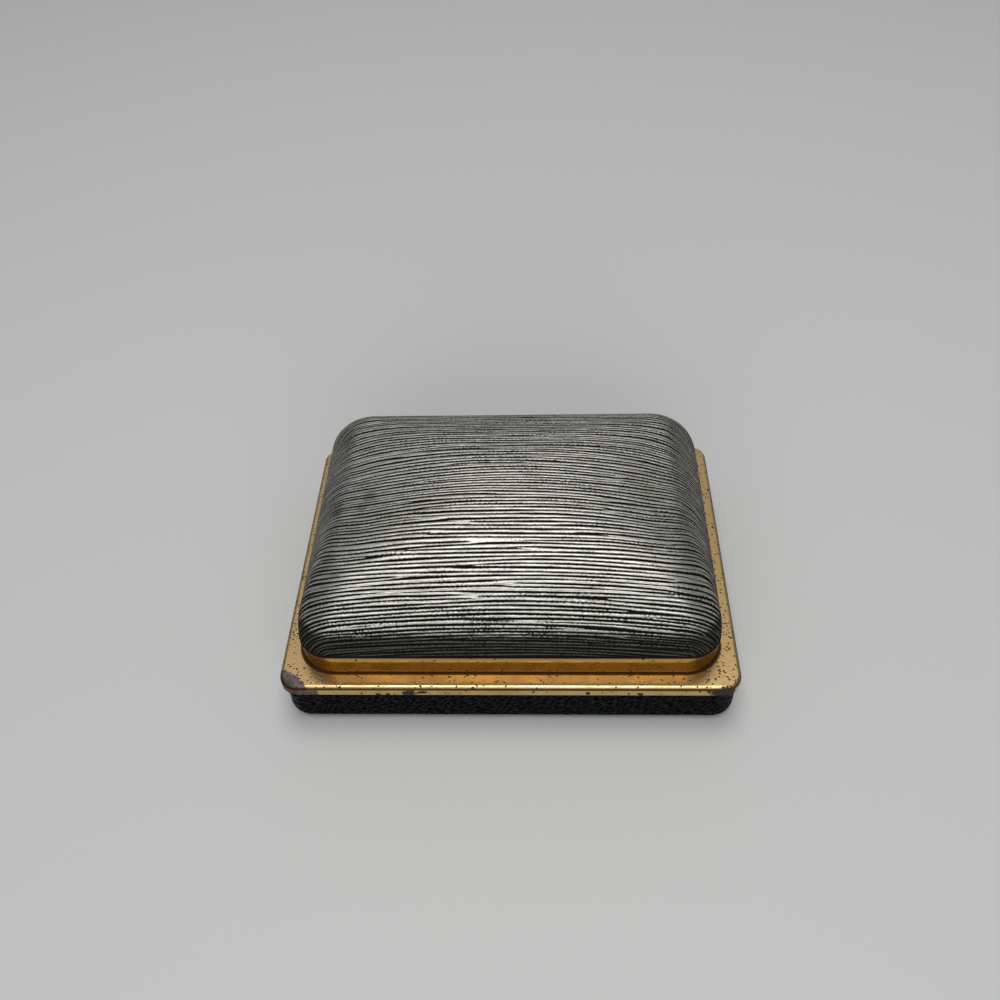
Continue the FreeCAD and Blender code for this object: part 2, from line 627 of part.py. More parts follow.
def build_lid_wall_lining():
    body = new_body("lid_wall_lining", z="base_height")
    foot = narrower(SHELL_INSIDE, "skin_gap")
    head = narrower(SHELL_INSIDE, "(%s) + lining_clearance" % shell_lean("lining_height"))
    outer = [round_rect(sketch(body, "OuterFoot", at="strip_lift"), *foot),
             round_rect(sketch(body, "OuterHead", at="lining_height"), *head)]
    loft(body, outer)
    inner = [round_rect(sketch(body, "InnerFoot", at="strip_lift"), *narrower(foot, "strip_gauge")),
             round_rect(sketch(body, "InnerHead", at="lining_height"), *narrower(head, "strip_gauge"))]
    loft(body, inner, "PartDesign::SubtractiveLoft")
    return body


def build_lid_lining_board():
    body = new_body("lid_lining_board", z="base_height")
    lean = "(%s) + lining_clearance" % shell_lean("lining_height + board_gauge")
    outline = round_rect(sketch(body, "Board", at="lining_height"), *narrower(SHELL_INSIDE, lean))
    pad(body, outline, "board_gauge")
    return body


def build_lid_lining():
    body = new_body("lid_lining", z="base_height")
    inset = "(%s) + lining_clearance + strip_gauge + satin_clearance" % shell_lean("lining_height")
    pad_form = narrower(SHELL_INSIDE, inset) + (
        "satin_edge_run", "satin_edge_drop", "satin_crown", "lining_height", "-1")
    pillow(body, "Satin", pad_form)
    return body


def build_lid_leaf(side, sign):
    """Rolled middle knuckle, its web through the rim and the plate inside it."""
    body = new_body("hinge_lid_leaf_" + side, hinge_x(sign), HINGE_Y, "base_height + " + HINGE_Z)
    reach = "(%s - %s)" % (HINGE_Y, RIM_INSIDE_BACK)
    half_knuckle = "-lid_knuckle_length / 2"
    knuckle = disc(sketch(body, "Knuckle", "YZ_Plane", at=half_knuckle), "knuckle_radius")
    pad(body, knuckle, "lid_knuckle_length")
    web = sketch(body, "Web", "YZ_Plane", x="-%s / 2" % reach, at=half_knuckle)
    pad(body, rect(web, reach, "lid_leaf_gauge"), "lid_knuckle_length")
    plate = sketch(body, "Plate", "YZ_Plane", x="-%s - lid_leaf_gauge / 2" % reach,
                   y="lid_leaf_lift + lid_leaf_height / 2 - %s" % HINGE_Z, at="-lid_leaf_width / 2")
    pad(body, rect(plate, "lid_leaf_gauge", "lid_leaf_height"), "lid_leaf_width")
    bore = disc(sketch(body, "Bore", "YZ_Plane", at="-lid_knuckle_length"), "pin_radius + pin_fit")
    pocket(body, bore, "2 * lid_knuckle_length", along_normal=True)
    flat_height = "2 * cam_flat_depth"
    for name, direction in (("ShutFlat", "0"), ("OpenFlat", "open_angle")):
        away = "(knuckle_radius - cam_flat_depth + %s / 2)" % flat_height
        flat = sketch(body, name, "YZ_Plane", x="%s * sin(%s)" % (away, direction),
                      y="-%s * cos(%s)" % (away, direction), at="-lid_knuckle_length", turn=direction)
        rect(flat, "2 * knuckle_radius", flat_height)
        pocket(body, flat, "2 * lid_knuckle_length", along_normal=True)
    rear_holes(body, "Holes", None, "lid_rivet_height - %s" % HINGE_Z,
               "-%s - lid_leaf_gauge" % reach, "lid_leaf_gauge", "rivet_spread")
    return body


def build_base_leaf(side, sign):
    """Plate inside the tray with a web up to each outer knuckle."""
    body = new_body("hinge_base_leaf_" + side, hinge_x(sign), HINGE_Y, "base_height + " + HINGE_Z)
    plate_y = "(%s + %s) / 2 - %s" % (LEAF_FRONT, LEAF_BACK, HINGE_Y)
    plate_top = "(%s + base_leaf_drop)" % HINGE_Z
    plate = sketch(body, "Plate", "YZ_Plane", x=plate_y, y="-%s - base_leaf_height / 2" % plate_top,
                   at="-%s / 2" % HINGE_LENGTH)
    pad(body, rect(plate, "base_leaf_gauge", "base_leaf_height"), HINGE_LENGTH)
    knuckle_start = "lid_knuckle_length / 2 + knuckle_gap"
    web_foot = "(%s + base_leaf_gauge)" % plate_top
    web = sketch(body, "Web", "YZ_Plane", x=plate_y, y="-%s / 2" % web_foot, at=knuckle_start)
    web_pad = pad(body, rect(web, "base_leaf_gauge", web_foot), "base_knuckle_length")
    knuckle = disc(sketch(body, "Knuckle", "YZ_Plane", at=knuckle_start), "knuckle_radius")
    knuckle_pad = pad(body, knuckle, "base_knuckle_length")
    mirror = body.newObject("PartDesign::Mirrored", "OtherKnuckle")
    mirror.Originals = [web_pad, knuckle_pad]
    mirror.MirrorPlane = (origin_plane(body, "YZ_Plane"), [""])
    body.Tip = mirror
    doc.recompute()
    bore = disc(sketch(body, "Bore", "YZ_Plane", at="-" + HINGE_LENGTH), "pin_radius + pin_fit")
    pocket(body, bore, "2 * " + HINGE_LENGTH, along_normal=True)
    rivet_z = "-base_rivet_drop - %s" % HINGE_Z
    leaf_front = "%s - %s" % (LEAF_FRONT, HINGE_Y)
    rear_holes(body, "Holes", None, rivet_z, leaf_front, "base_leaf_gauge", "rivet_spread")
    rear_holes(body, "SpringHole", None, rivet_z, leaf_front, "base_leaf_gauge")
    return body


def build_hinge_pin(side, sign):
    body = new_body("hinge_pin_" + side, hinge_x(sign), HINGE_Y, "base_height + " + HINGE_Z)
    half_pin = "%s / 2 + pin_head_height" % HINGE_LENGTH
    wire = disc(sketch(body, "Wire", "YZ_Plane", at="-(%s)" % half_pin), "pin_radius")
    pad(body, wire, "2 * (%s)" % half_pin)
    for name, start in (("LeftHead", "-(%s)" % half_pin), ("RightHead", "%s / 2" % HINGE_LENGTH)):
        pad(body, disc(sketch(body, name, "YZ_Plane", at=start), "pin_head_radius"), "pin_head_height")
    return body


def build_snap_spring(side, sign):
    """Leaf spring: a leg down the base leaf and a tongue under the middle knuckle."""
    body = new_body("snap_spring_" + side, hinge_x(sign), HINGE_Y, "base_height + " + HINGE_Z)
    front = "(%s - %s)" % (SPRING_FRONT, HINGE_Y)
    back = "(%s - %s)" % (SPRING_BACK, HINGE_Y)
    top = "-(knuckle_radius + spring_gap)"
    under = "(%s - spring_gauge)" % top
    foot = "(-%s - base_leaf_drop - spring_leg)" % HINGE_Z
    start = "-spring_width / 2"
    leg = sketch(body, "Leg", "YZ_Plane", x="(%s + %s) / 2" % (front, back),
                 y="(%s + %s) / 2" % (top, foot), at=start)
    pad(body, rect(leg, "spring_gauge", "%s - %s" % (top, foot)), "spring_width")
    tongue = sketch(body, "Tongue", "YZ_Plane", x="(%s + spring_reach) / 2" % front,
                    y="(%s + %s) / 2" % (top, under), at=start)
    tongue_pad = pad(body, rect(tongue, "spring_reach - %s" % front, "spring_gauge"), "spring_width")
    inner = round_edges(body, tongue_pad, ridge_edges(tongue_pad, back, under), "spring_bend_radius")
    round_edges(body, inner, ridge_edges(inner, front, top), "spring_bend_radius + spring_gauge")
    rear_holes(body, "SpringHole", None, "-base_rivet_drop - %s" % HINGE_Z, front, "spring_gauge")
    return body


def build_rivets(label, x_places, seat, height, shank):
    """One solid for each rivet: a low head in front of its seat and a shank behind it."""
    rivets = []
    backwards = Rotation(Vector(1, 0, 0), -90)
    for number, x in enumerate(x_places):
        tag = "%s_%d" % (label, number)
        stem = doc.addObject("Part::Cylinder", tag + "_shank")
        bind(stem, "Radius", "rivet_radius")
        bind(stem, "Height", shank)
        head = doc.addObject("Part::Cone", tag + "_head")
        bind(head, "Radius1", "rivet_crown_radius")
        bind(head, "Radius2", "rivet_head_radius")
        bind(head, "Height", "rivet_head_height")
        bind(head, "Placement.Base.z", "-rivet_head_height")
        rivet = doc.addObject("Part::Fuse", tag)
        rivet.Base = stem
        rivet.Tool = head
        rivet.Placement = Placement(Vector(), backwards)
        place(rivet, x, seat, height)
        rivets.append(rivet)
    group = doc.addObject("Part::Compound", label)
    group.Label = label
    group.Links = rivets
    doc.recompute()
    return group


def build_parts():
    parts = [
        build_base_frame(),
        build_base_shell(),
        build_base_cover(),
        build_bottom_panel(),
        build_insert_tray(),
        build_insert_velvet(),
        build_lid_rim(),
        build_lid_shell(),
        build_lid_padding(),
        build_lid_cover(),
        build_lid_wall_lining(),
        build_lid_lining_board(),
        build_lid_lining(),
    ]
    for side, sign in SIDES:
        parts.append(build_lid_leaf(side, sign))
        parts.append(build_base_leaf(side, sign))
        parts.append(build_hinge_pin(side, sign))
        parts.append(build_snap_spring(side, sign))
    paired = ["%s %s rivet_spread / 2" % (hinge_x(sign), way) for _, sign in SIDES for way in "-+"]
    single = [hinge_x(sign) for _, sign in SIDES]
    lid_z = "base_height + lid_rivet_height"
    base_z = "base_height - base_rivet_drop"
    lid_seat = "%s - lid_leaf_gauge" % RIM_INSIDE_BACK
    lid_shank = "lid_leaf_gauge + rim_wall - shank_cover"
    leaf_shank = "%s - %s" % (BOX_BACK, LEAF_FRONT)
    spring_shank = "%s - %s" % (BOX_BACK, SPRING_FRONT)
    parts.append(build_rivets("lid_leaf_rivets", paired, lid_seat, lid_z, lid_shank))
    parts.append(build_rivets("base_leaf_rivets", paired, LEAF_FRONT, base_z, leaf_shank))
    parts.append(build_rivets("spring_rivets", single, SPRING_FRONT, base_z, spring_shank))
    return parts


def check_document(parts):
    for item in doc.Objects:
        if {"Invalid", "Error"} & set(item.State):
            raise RuntimeError("%s did not build: %s" % (item.Label, item.State))
    for item in parts:
        if item.Shape.isNull() or not item.Shape.isValid():
            raise RuntimeError("%s has no valid shape" % item.Label)


all_parts = build_parts()
doc.recompute()
check_document(all_parts)
os.makedirs("parts", exist_ok=True)
for item in all_parts:
    item.Shape.exportStep("parts/%s.step" % item.Label)
    print("%-24s %2d solid(s) %9.2f mm3" % (item.Label, len(item.Shape.Solids), item.Shape.Volume))
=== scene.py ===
"""Looks of the small hinged instrument case: cloth, leathercloth, gilt, velvet and satin."""
import math

import bpy
import numpy as np
from mathutils import Matrix, Vector
from mathutils.geometry import delaunay_2d_cdt


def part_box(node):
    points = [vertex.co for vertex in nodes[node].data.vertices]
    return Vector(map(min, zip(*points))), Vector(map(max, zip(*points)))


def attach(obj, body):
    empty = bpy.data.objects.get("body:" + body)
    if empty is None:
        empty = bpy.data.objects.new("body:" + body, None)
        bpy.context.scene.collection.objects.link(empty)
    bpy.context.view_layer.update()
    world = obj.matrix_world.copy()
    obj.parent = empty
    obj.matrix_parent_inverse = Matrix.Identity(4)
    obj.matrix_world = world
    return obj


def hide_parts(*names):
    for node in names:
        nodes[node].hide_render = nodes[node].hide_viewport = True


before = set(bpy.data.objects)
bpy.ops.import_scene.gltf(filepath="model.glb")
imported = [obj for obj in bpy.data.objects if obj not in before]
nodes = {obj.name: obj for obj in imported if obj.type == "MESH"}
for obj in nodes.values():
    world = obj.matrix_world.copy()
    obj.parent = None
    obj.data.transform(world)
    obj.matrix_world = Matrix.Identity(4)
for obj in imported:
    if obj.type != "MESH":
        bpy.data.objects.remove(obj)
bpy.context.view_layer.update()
MM = 0.001
CLOSE = 1e-6
TINY = 1e-9


def mm_box(node):
    """Lowest and highest corners of a CAD node, in millimetres."""
    low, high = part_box(node)
    return np.array(low) / MM, np.array(high) / MM


def mm_span(node):
    """Width, depth, bottom and top of a CAD node, in millimetres."""
    low, high = mm_box(node)
    return (*(high - low)[:2], low[2], high[2])


# Mesh helpers, in millimetres

def smooth(edge0, edge1, value):
    """Smooth step from 0 at the first edge to 1 at the second."""
    share = np.clip((value - edge0) / (edge1 - edge0), 0.0, 1.0)
    return share * share * (3 - 2 * share)


def mesh_object(name, points_mm, faces, material, body, attributes=None, uv=None):
    """A smooth-shaded piece from points in millimetres, riding on a body."""
    mesh = bpy.data.meshes.new(name)
    points = np.asarray(points_mm, np.float32) * MM
    mesh.from_pydata(points.tolist(), [], faces)
    mesh.validate()
    mesh.polygons.foreach_set("use_smooth", np.ones(len(mesh.polygons), bool))
    for key, values in (attributes or {}).items():
        layer = mesh.attributes.new(key, "FLOAT", "POINT")
        layer.data.foreach_set("value", np.asarray(values, np.float32))
    if uv is not None:
        layer = mesh.uv_layers.new(name="cloth")
        loop_points = np.zeros(len(mesh.loops), np.int32)
        mesh.loops.foreach_get("vertex_index", loop_points)
        layer.data.foreach_set("uv", np.asarray(uv, np.float32)[loop_points].ravel())
    mesh.materials.append(material)
    piece = bpy.data.objects.new(name, mesh)
    bpy.context.scene.collection.objects.link(piece)
    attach(piece, body)
    return piece


def grid_faces(rows, columns, closed=False, first=0, flip=False):
    """Quads of a grid of points, row by row; closed joins the last column to the first."""
    row = np.arange(rows - 1)[:, None]
    column = np.arange(columns if closed else columns - 1)[None, :]
    after = (column + 1) % columns
    corners = [row * columns + column, row * columns + after,
               (row + 1) * columns + after, (row + 1) * columns + column]
    if flip:
        corners.reverse()
    shape = np.broadcast(row, column).shape
    quads = np.stack([np.broadcast_to(corner, shape) for corner in corners], -1)
    return (first + quads.reshape(-1, 4)).tolist()


def grid_rim(rows, columns, first=0):
    """Point numbers round the edge of a grid, against the clock seen from above."""
    front = list(range(columns))
    right = [row * columns + columns - 1 for row in range(1, rows)]
    back = [(rows - 1) * columns + column for column in range(columns - 2, -1, -1)]
    left = [row * columns for row in range(rows - 2, 0, -1)]
    return [first + number for number in front + right + back + left]


def loop_faces(lower, upper):
    """Quads between two closed loops of point numbers."""
    next_lower = lower[1:] + lower[:1]
    next_upper = upper[1:] + upper[:1]
    return [list(quad) for quad in zip(lower, next_lower, next_upper, upper)]


def arc(centre_x, centre_y, radius, first_degrees, last_degrees, steps=14, outward=1):
    """Points of an arc and their normals, outward or towards its centre."""
    angle = np.radians(np.linspace(first_degrees, last_degrees, steps))
    ray = np.column_stack([np.cos(angle), np.sin(angle)])
    return np.array([centre_x, centre_y]) + radius * ray, outward * ray


def joined(arcs, step=1.5):
    """One closed outline of arcs with straight runs between them, as points and normals."""
    points = []
    normals = []
    for number, (arc_points, arc_normals) in enumerate(arcs):
        next_points = arcs[(number + 1) % len(arcs)][0]
        points.extend(arc_points)
        normals.extend(arc_normals)
        run = next_points[0] - arc_points[-1]
        count = int(np.linalg.norm(run) / step)
        for share in np.linspace(0, 1, count + 2)[1:-1]:
            points.append(arc_points[-1] + share * run)
            normals.append(arc_normals[-1])
        if np.linalg.norm(run) < CLOSE:
            points.pop()
            normals.pop()
    return np.array(points), np.array(normals)


def rounded_outline(width, depth, radius):
    """Rounded rectangle, against the clock."""
    flat_x = width / 2 - radius
    flat_y = depth / 2 - radius
    return joined([arc(flat_x, -flat_y, radius, -90, 0), arc(flat_x, flat_y, radius, 0, 90),
                   arc(-flat_x, flat_y, radius, 90, 180), arc(-flat_x, -flat_y, radius, 180, 270)])


def sweep(outline, profile):
    """Rings round an outline: each profile entry is (outward offset, height)."""
    points, normals = outline
    rings = [np.column_stack([points + normals * offset, np.full(len(points), height)])
             for offset, height in profile]
    return np.concatenate(rings)


def quarter(offset, height, radius, first_degrees, last_degrees, steps=6):
    """Profile entries round a small arc."""
    angles = np.radians(np.linspace(first_degrees, last_degrees, steps))
    return [(offset + radius * math.cos(a), height + radius * math.sin(a)) for a in angles]


def inside(points, polygon):
    """Which points lie inside a polygon, by counting crossings."""
    x, y = points[:, :1], points[:, 1:2]
    start_x, start_y = polygon.T
    end_x, end_y = np.roll(polygon, -1, axis=0).T
    spans = (start_y > y) != (end_y > y)
    with np.errstate(divide="ignore", invalid="ignore"):
        crossing = start_x + (y - start_y) * (end_x - start_x) / (end_y - start_y)
    return np.sum(spans & (x < crossing), axis=1) % 2 == 1


# Material helpers

NOISE_MIDDLE = 0.5


def new_material(name, **sockets):
    """A material whose uniform values sit on the shader's own sockets."""
    material = bpy.data.materials.new(name)
    material.use_nodes = True
    shader = material.node_tree.nodes["Principled BSDF"]
    for socket, value in sockets.items():
        shader.inputs[socket.replace("_", " ")].default_value = value
    return material


class Graph:
    """Short names for the nodes that the materials here are made of; places are in millimetres."""

    def __init__(self, material):
        self.tree = material.node_tree
        self.shader = material.node_tree.nodes["Principled BSDF"]
        coordinates = self.node("TexCoord")
        self.place = self.scaled((1 / MM, 1 / MM, 1 / MM), coordinates.outputs["Object"])
        self.x, self.y, self.z = self.split(self.place)

    def node(self, kind, **settings):
        made = self.tree.nodes.new("ShaderNode" + kind)
        for key, value in settings.items():
            setattr(made, key, value)
        return made

    def link(self, source, target):
        self.tree.links.new(source, target)

    def feed(self, socket, value):
        if isinstance(value, bpy.types.NodeSocket):
            self.link(value, socket)
        else:
            socket.default_value = value

    def split(self, vector):
        made = self.node("SeparateXYZ")
        self.link(vector, made.inputs[0])
        return made.outputs

    def vector(self, operation, first, second=(0, 0, 0)):
        made = self.node("VectorMath", operation=operation)
        self.feed(made.inputs[0], first)
        self.feed(made.inputs[1], second)
        return made.outputs["Value" if operation == "LENGTH" else "Vector"]

    def scaled(self, scale, place=None):
        return self.vector("MULTIPLY", place or self.place, scale)

    def math(self, operation, first, second=0.0):
        made = self.node("Math", operation=operation)
        self.feed(made.inputs[0], first)
        self.feed(made.inputs[1], second)
        return made.outputs[0]

    def plus(self, first, second):
        return self.math("ADD", first, second)

    def minus(self, first, second):
        return self.math("SUBTRACT", first, second)

    def times(self, first, second):
        return self.math("MULTIPLY", first, second)

    def swing(self, noise, reach):
        """Noise about its middle, times a reach."""
        return self.times(self.minus(noise, NOISE_MIDDLE), reach)

    def band(self, value, low=0.3, high=0.7, low_out=0.0, high_out=1.0):
        """Smooth step from low to high, which by default are about the range of a noise."""
        made = self.node("MapRange", interpolation_type="SMOOTHSTEP")
        for socket, amount in zip(made.inputs, (value, low, high, low_out, high_out)):
            self.feed(socket, amount)
        return made.outputs[0]

    def fade(self, value, low, high):
        """Smooth step down, from 1 at low to 0 at high."""
        return self.band(value, low, high, 1.0, 0.0)

    def noise(self, scale=1.0, detail=3.0, roughness=0.6, place=None):
        made = self.node("TexNoise")
        self.link(place or self.place, made.inputs["Vector"])
        made.inputs["Scale"].default_value = scale
        made.inputs["Detail"].default_value = detail
        made.inputs["Roughness"].default_value = roughness
        return made.outputs["Fac"]

    def cells(self, scale, place):
        """Distance to the nearest seed and one chance value for each cell."""
        made = self.node("TexVoronoi")
        self.link(place, made.inputs["Vector"])
        made.inputs["Scale"].default_value = scale
        split = self.node("SeparateColor")
        self.link(made.outputs["Color"], split.inputs[0])
        return made.outputs["Distance"], split.outputs[0]

    def stretched(self, turn_degrees, scale, place=None):
        """Place turned about Z, then scaled."""
        turned = self.node("VectorRotate", rotation_type="Z_AXIS")
        self.link(place or self.place, turned.inputs["Vector"])
        turned.inputs["Angle"].default_value = math.radians(turn_degrees)
        return self.scaled(scale, turned.outputs[0])

    def patch(self, centre, radii, ragged, grain, soft):
        """Ragged blot: 1 inside an ellipsoid, 0 outside."""
        offset = self.vector("SUBTRACT", self.place, centre)
        away = self.vector("LENGTH", self.vector("DIVIDE", offset, radii))
        shift = self.swing(self.noise(grain, roughness=0.55), 2 * ragged)
        return self.fade(self.plus(away, shift), 1 - soft, 1 + soft)

    def most(self, masks):
        total = masks[0]
        for mask in masks[1:]:
            total = self.math("MAXIMUM", total, mask)
        return total

    def mix(self, share, first, second):
        """Colour mix."""
        made = self.node("Mix", data_type="RGBA")
        colours = [socket for socket in made.inputs if socket.type == "RGBA"]
        self.feed(made.inputs["Factor"], share)
        for socket, value in zip(colours, (first, second)):
            self.feed(socket, tuple(value) + (1.0,) if isinstance(value, tuple) else value)
        return next(socket for socket in made.outputs if socket.type == "RGBA")

    def blend(self, share, first, second):
        """Number mix."""
        made = self.node("Mix", data_type="FLOAT")
        self.feed(made.inputs[0], share)
        self.feed(made.inputs[2], first)
        self.feed(made.inputs[3], second)
        return made.outputs[0]

    def bump(self, height, distance_mm, strength):
        made = self.node("Bump")
        made.inputs["Strength"].default_value = strength
        made.inputs["Distance"].default_value = distance_mm * MM
        self.link(height, made.inputs["Height"])
        return made.outputs[0]

    def set(self, **sockets):
        for key, value in sockets.items():
            self.feed(self.shader.inputs[key.replace("_", " ")], value)


# Padded forms

CORNER_EASE = 0.3
CROWN_ROUND = 0.8
CLIMB_SAMPLES = 4000
ROW_SAMPLES = 260
LEVEL_HALVINGS = 34


class Pillow:
    """Rounded rectangle that climbs a quarter ellipse at its edge and a crown above it.

    A level cut is named by its inset from the front of the foot.
    """

    def __init__(self, width, depth, corner, run, rise, crown, foot, up=1.0):
        self.width, self.depth, self.corner = width, depth, corner
        self.run, self.rise, self.crown = run, rise, crown
        self.foot, self.up = foot, up
        insets = (1 - np.cos(np.linspace(0, math.pi / 2, CLIMB_SAMPLES))) * depth / 2
        steps = np.hypot(np.diff(insets), np.diff(self.height_at(insets)))
        self.climb_insets = insets
        self.climb = np.concatenate([[0], np.cumsum(steps)])

    def level_at(self, inset):
        """Half width, half depth and corner radius of a level cut."""
        edge = np.clip(inset / self.run, 0, 1)
        over = np.clip((inset - self.run) / (self.depth / 2 - self.run), 0, 1)
        crown_width = self.width / 2 - self.run
        crown_depth = self.depth / 2 - self.run
        left = 1 - over
        corner = left * (left * self.corner * (1 - CORNER_EASE * edge) + over * CROWN_ROUND * crown_depth)
        edge_left = self.run * (1 - edge)
        return left * crown_width + edge_left, left * crown_depth + edge_left, corner

    def height_at(self, inset):
        edge = 1 - np.clip(inset / self.run, 0, 1)
        lift = self.rise * np.sqrt(np.clip(1 - edge * edge, 0, 1))
        return self.foot + self.up * (lift + self.crown * (1 - (1 - 2 * inset / self.depth) ** 2))

    def inset_of(self, x, y):
        """Name of the level cut through a point."""
        low = np.zeros(np.shape(x))
        high = np.full(np.shape(x), self.depth / 2)
        for _ in range(LEVEL_HALVINGS):
            middle = (low + high) / 2
            half_width, half_depth, corner = self.level_at(middle)
            side = np.abs(x) - half_width + corner
            front = np.abs(y) - half_depth + corner
            gone = np.hypot(np.maximum(side, 0), np.maximum(front, 0))
            is_out = gone + np.minimum(np.maximum(side, front), 0) > corner
            high = np.where(is_out, middle, high)
            low = np.where(is_out, low, middle)
        return (low + high) / 2

    def climbed(self, inset):
        """Length up the form from its foot to an inset."""
        return np.interp(inset, self.climb_insets, self.climb)

    def surface(self, row_count, column_count, crowd=0.0):
        """Grid of points whose rows run left to right, and lengths along and across them.

        Crowd moves columns towards the two ends of each row.
        """
        half = self.climb[-1]
        across = np.linspace(-half, half, row_count)
        row_inset = np.interp(half - np.abs(across), self.climb, self.climb_insets)
        row_y = np.sign(across) * (self.depth / 2 - row_inset)
        overlap = np.maximum(np.abs(row_y) - (self.depth / 2 - self.corner), 0)
        bulge = np.sqrt(np.maximum(self.corner ** 2 - overlap ** 2, 0))
        reach = self.width / 2 - self.corner + bulge
        turn = np.sin(np.linspace(0, math.pi / 2, ROW_SAMPLES))
        x = reach[:, None] * turn[None, :]
        z = self.height_at(self.inset_of(x, np.broadcast_to(row_y[:, None], x.shape)))
        steps = np.cumsum(np.hypot(np.diff(x), np.diff(z)), axis=1)
        along = np.concatenate([np.zeros((row_count, 1)), steps], axis=1)
        half_count = column_count // 2
        step = np.linspace(0, 1, half_count + 1)
        share = step * (1 + crowd - crowd * step)
        points = np.zeros((row_count, column_count, 3))
        lengths = np.zeros((row_count, column_count))
        points[..., 1] = row_y[:, None]
        for number in range(row_count):
            target = share * along[number, -1]
            for column, values in ((0, x), (2, z)):
                half_row = np.interp(target, along[number], values[number])
                points[number, half_count:, column] = half_row
                points[number, half_count::-1, column] = half_row
            points[number, :half_count, 0] *= -1
            lengths[number, half_count:] = target
            lengths[number, half_count::-1] = -target
        return points, lengths, across


def grid_normals(points):
    """Unit normals of a grid of points, up where the grid has its rows along X."""
    normal = np.cross(np.gradient(points, axis=1), np.gradient(points, axis=0))
    return normal / np.maximum(np.linalg.norm(normal, axis=2, keepdims=True), TINY)


FIELD_ROWS = 1536
FIELD_COLUMNS = 512
PITCH_SPREAD = 0.18


def thread_field(span_across, span_along, pitch, drift, seed):
    """Wavy threads that fork and join, as band-limited noise with a fixed seed, and their strength.

    Drift is the spread of frequencies along the threads, per millimetre.
    """
    random = np.random.default_rng(seed)
    white = np.fft.fft2(random.standard_normal((FIELD_ROWS, FIELD_COLUMNS)))
    across = np.fft.fftfreq(FIELD_ROWS, span_across / FIELD_ROWS)[:, None]
    along = np.fft.fftfreq(FIELD_COLUMNS, span_along / FIELD_COLUMNS)[None, :]
    keep = np.exp(-0.5 * ((across * pitch - 1) / PITCH_SPREAD) ** 2 - 0.5 * (along / drift) ** 2)
    signal = np.fft.ifft2(white * keep)
    return signal, np.abs(signal) / np.sqrt(np.mean(np.abs(signal) ** 2))


def sample(field, across, along, span_across, span_along):
    """Field values at lengths across and along the threads, by linear interpolation."""
    rows, columns = field.shape
    row = (across / span_across + 0.5) * rows
    column = (along / span_along + 0.5) * columns
    row_low = np.floor(row).astype(int)
    column_low = np.floor(column).astype(int)
    row_part = row - row_low
    column_part = column - column_low
    total = 0
    for row_step, row_weight in ((0, 1 - row_part), (1, row_part)):
        for column_step, column_weight in ((0, 1 - column_part), (1, column_part)):
            picked = field[(row_low + row_step) % rows, (column_low + column_step) % columns]
            total = total + picked * row_weight * column_weight
    return total


# Dome of the lid: ribbed cloth over wadding. The threads lie left to right.

DOME_WIDTH, DOME_DEPTH, DOME_FOOT, _ = mm_span("lid_cover")
DOME_CORNER = 8.2
DOME_RUN = 9.9
DOME_RISE = 13.9
DOME_CROWN = 8.7
COVER_SINK = 0.03
COVER_GAUGE = 0.65
RIB_ROWS = 1200
RIB_COLUMNS = 161
END_CROWD = 0.75
FIELD_MARGIN = 8
UV_SPAN = 100

# Threads: pitch in millimetres, drift per millimetre and the seed of each field
RIB_PITCH, RIB_DRIFT, RIB_SEED = 0.98, 0.019, 11
DASH_PITCH, DASH_DRIFT, DASH_SEED = 2.3, 0.045, 8
SWELL_PITCH, SWELL_DRIFT, SWELL_SEED = 9.0, 0.016, 5
RIB_DEPTH = 0.38
SWELL_DEPTH = 0.05
DASH_SPREAD = 0.13
DASH_LIMIT = 1.6
GROOVE_SPAN = 0.02, 0.26
GROOVE_SHARE = 0.6
ROUND_SPAN = 0.8
JOIN_STRENGTH = 0.28
MOST_STRENGTH = 2

# How the threads turn with the corners of the foot, and how they bow
WRAP = 0.42
WRAP_ALONG_SPAN = 2, 36
WRAP_INSET_SPAN = 3, 15
THREAD_BOW = 0.0015

# Foot of the cloth
FOOT_FADE = 1.6
FOOT_LIFT = 0.02
HEM_TURN = 1.2


def dome_form(skin, rise_loss=0.0):
    """The dome, or a surface below it."""
    return Pillow(DOME_WIDTH - 2 * skin, DOME_DEPTH - 2 * skin, DOME_CORNER - skin, DOME_RUN,
                  DOME_RISE - skin - rise_loss, DOME_CROWN, DOME_FOOT)


def drawn_down(form, points, across):
    """Lengths across the threads, whose ends bow to the front and which turn with each corner."""
    x, y = np.abs(points[..., 0]), np.abs(points[..., 1])
    inset = form.inset_of(x, y)
    half_width, half_depth, corner = form.level_at(inset)
    round_foot = form.climb[-1] - form.climbed(inset)
    side = x - half_width + corner
    front = y - half_depth + corner
    angle = np.arctan2(np.maximum(side, 0), np.maximum(front, CLOSE))
    gone = form.corner * angle + np.where(side > 0, np.maximum(-front, 0), 0)
    near_corner = 1 - smooth(*WRAP_ALONG_SPAN, gone)
    near_foot = 1 - smooth(*WRAP_INSET_SPAN, inset)
    near = WRAP * near_corner * near_foot
    bow = THREAD_BOW * (0.5 - points[..., 1] / form.depth) * x * x
    return across + bow + np.sign(points[..., 1]) * near * (round_foot - np.abs(across))


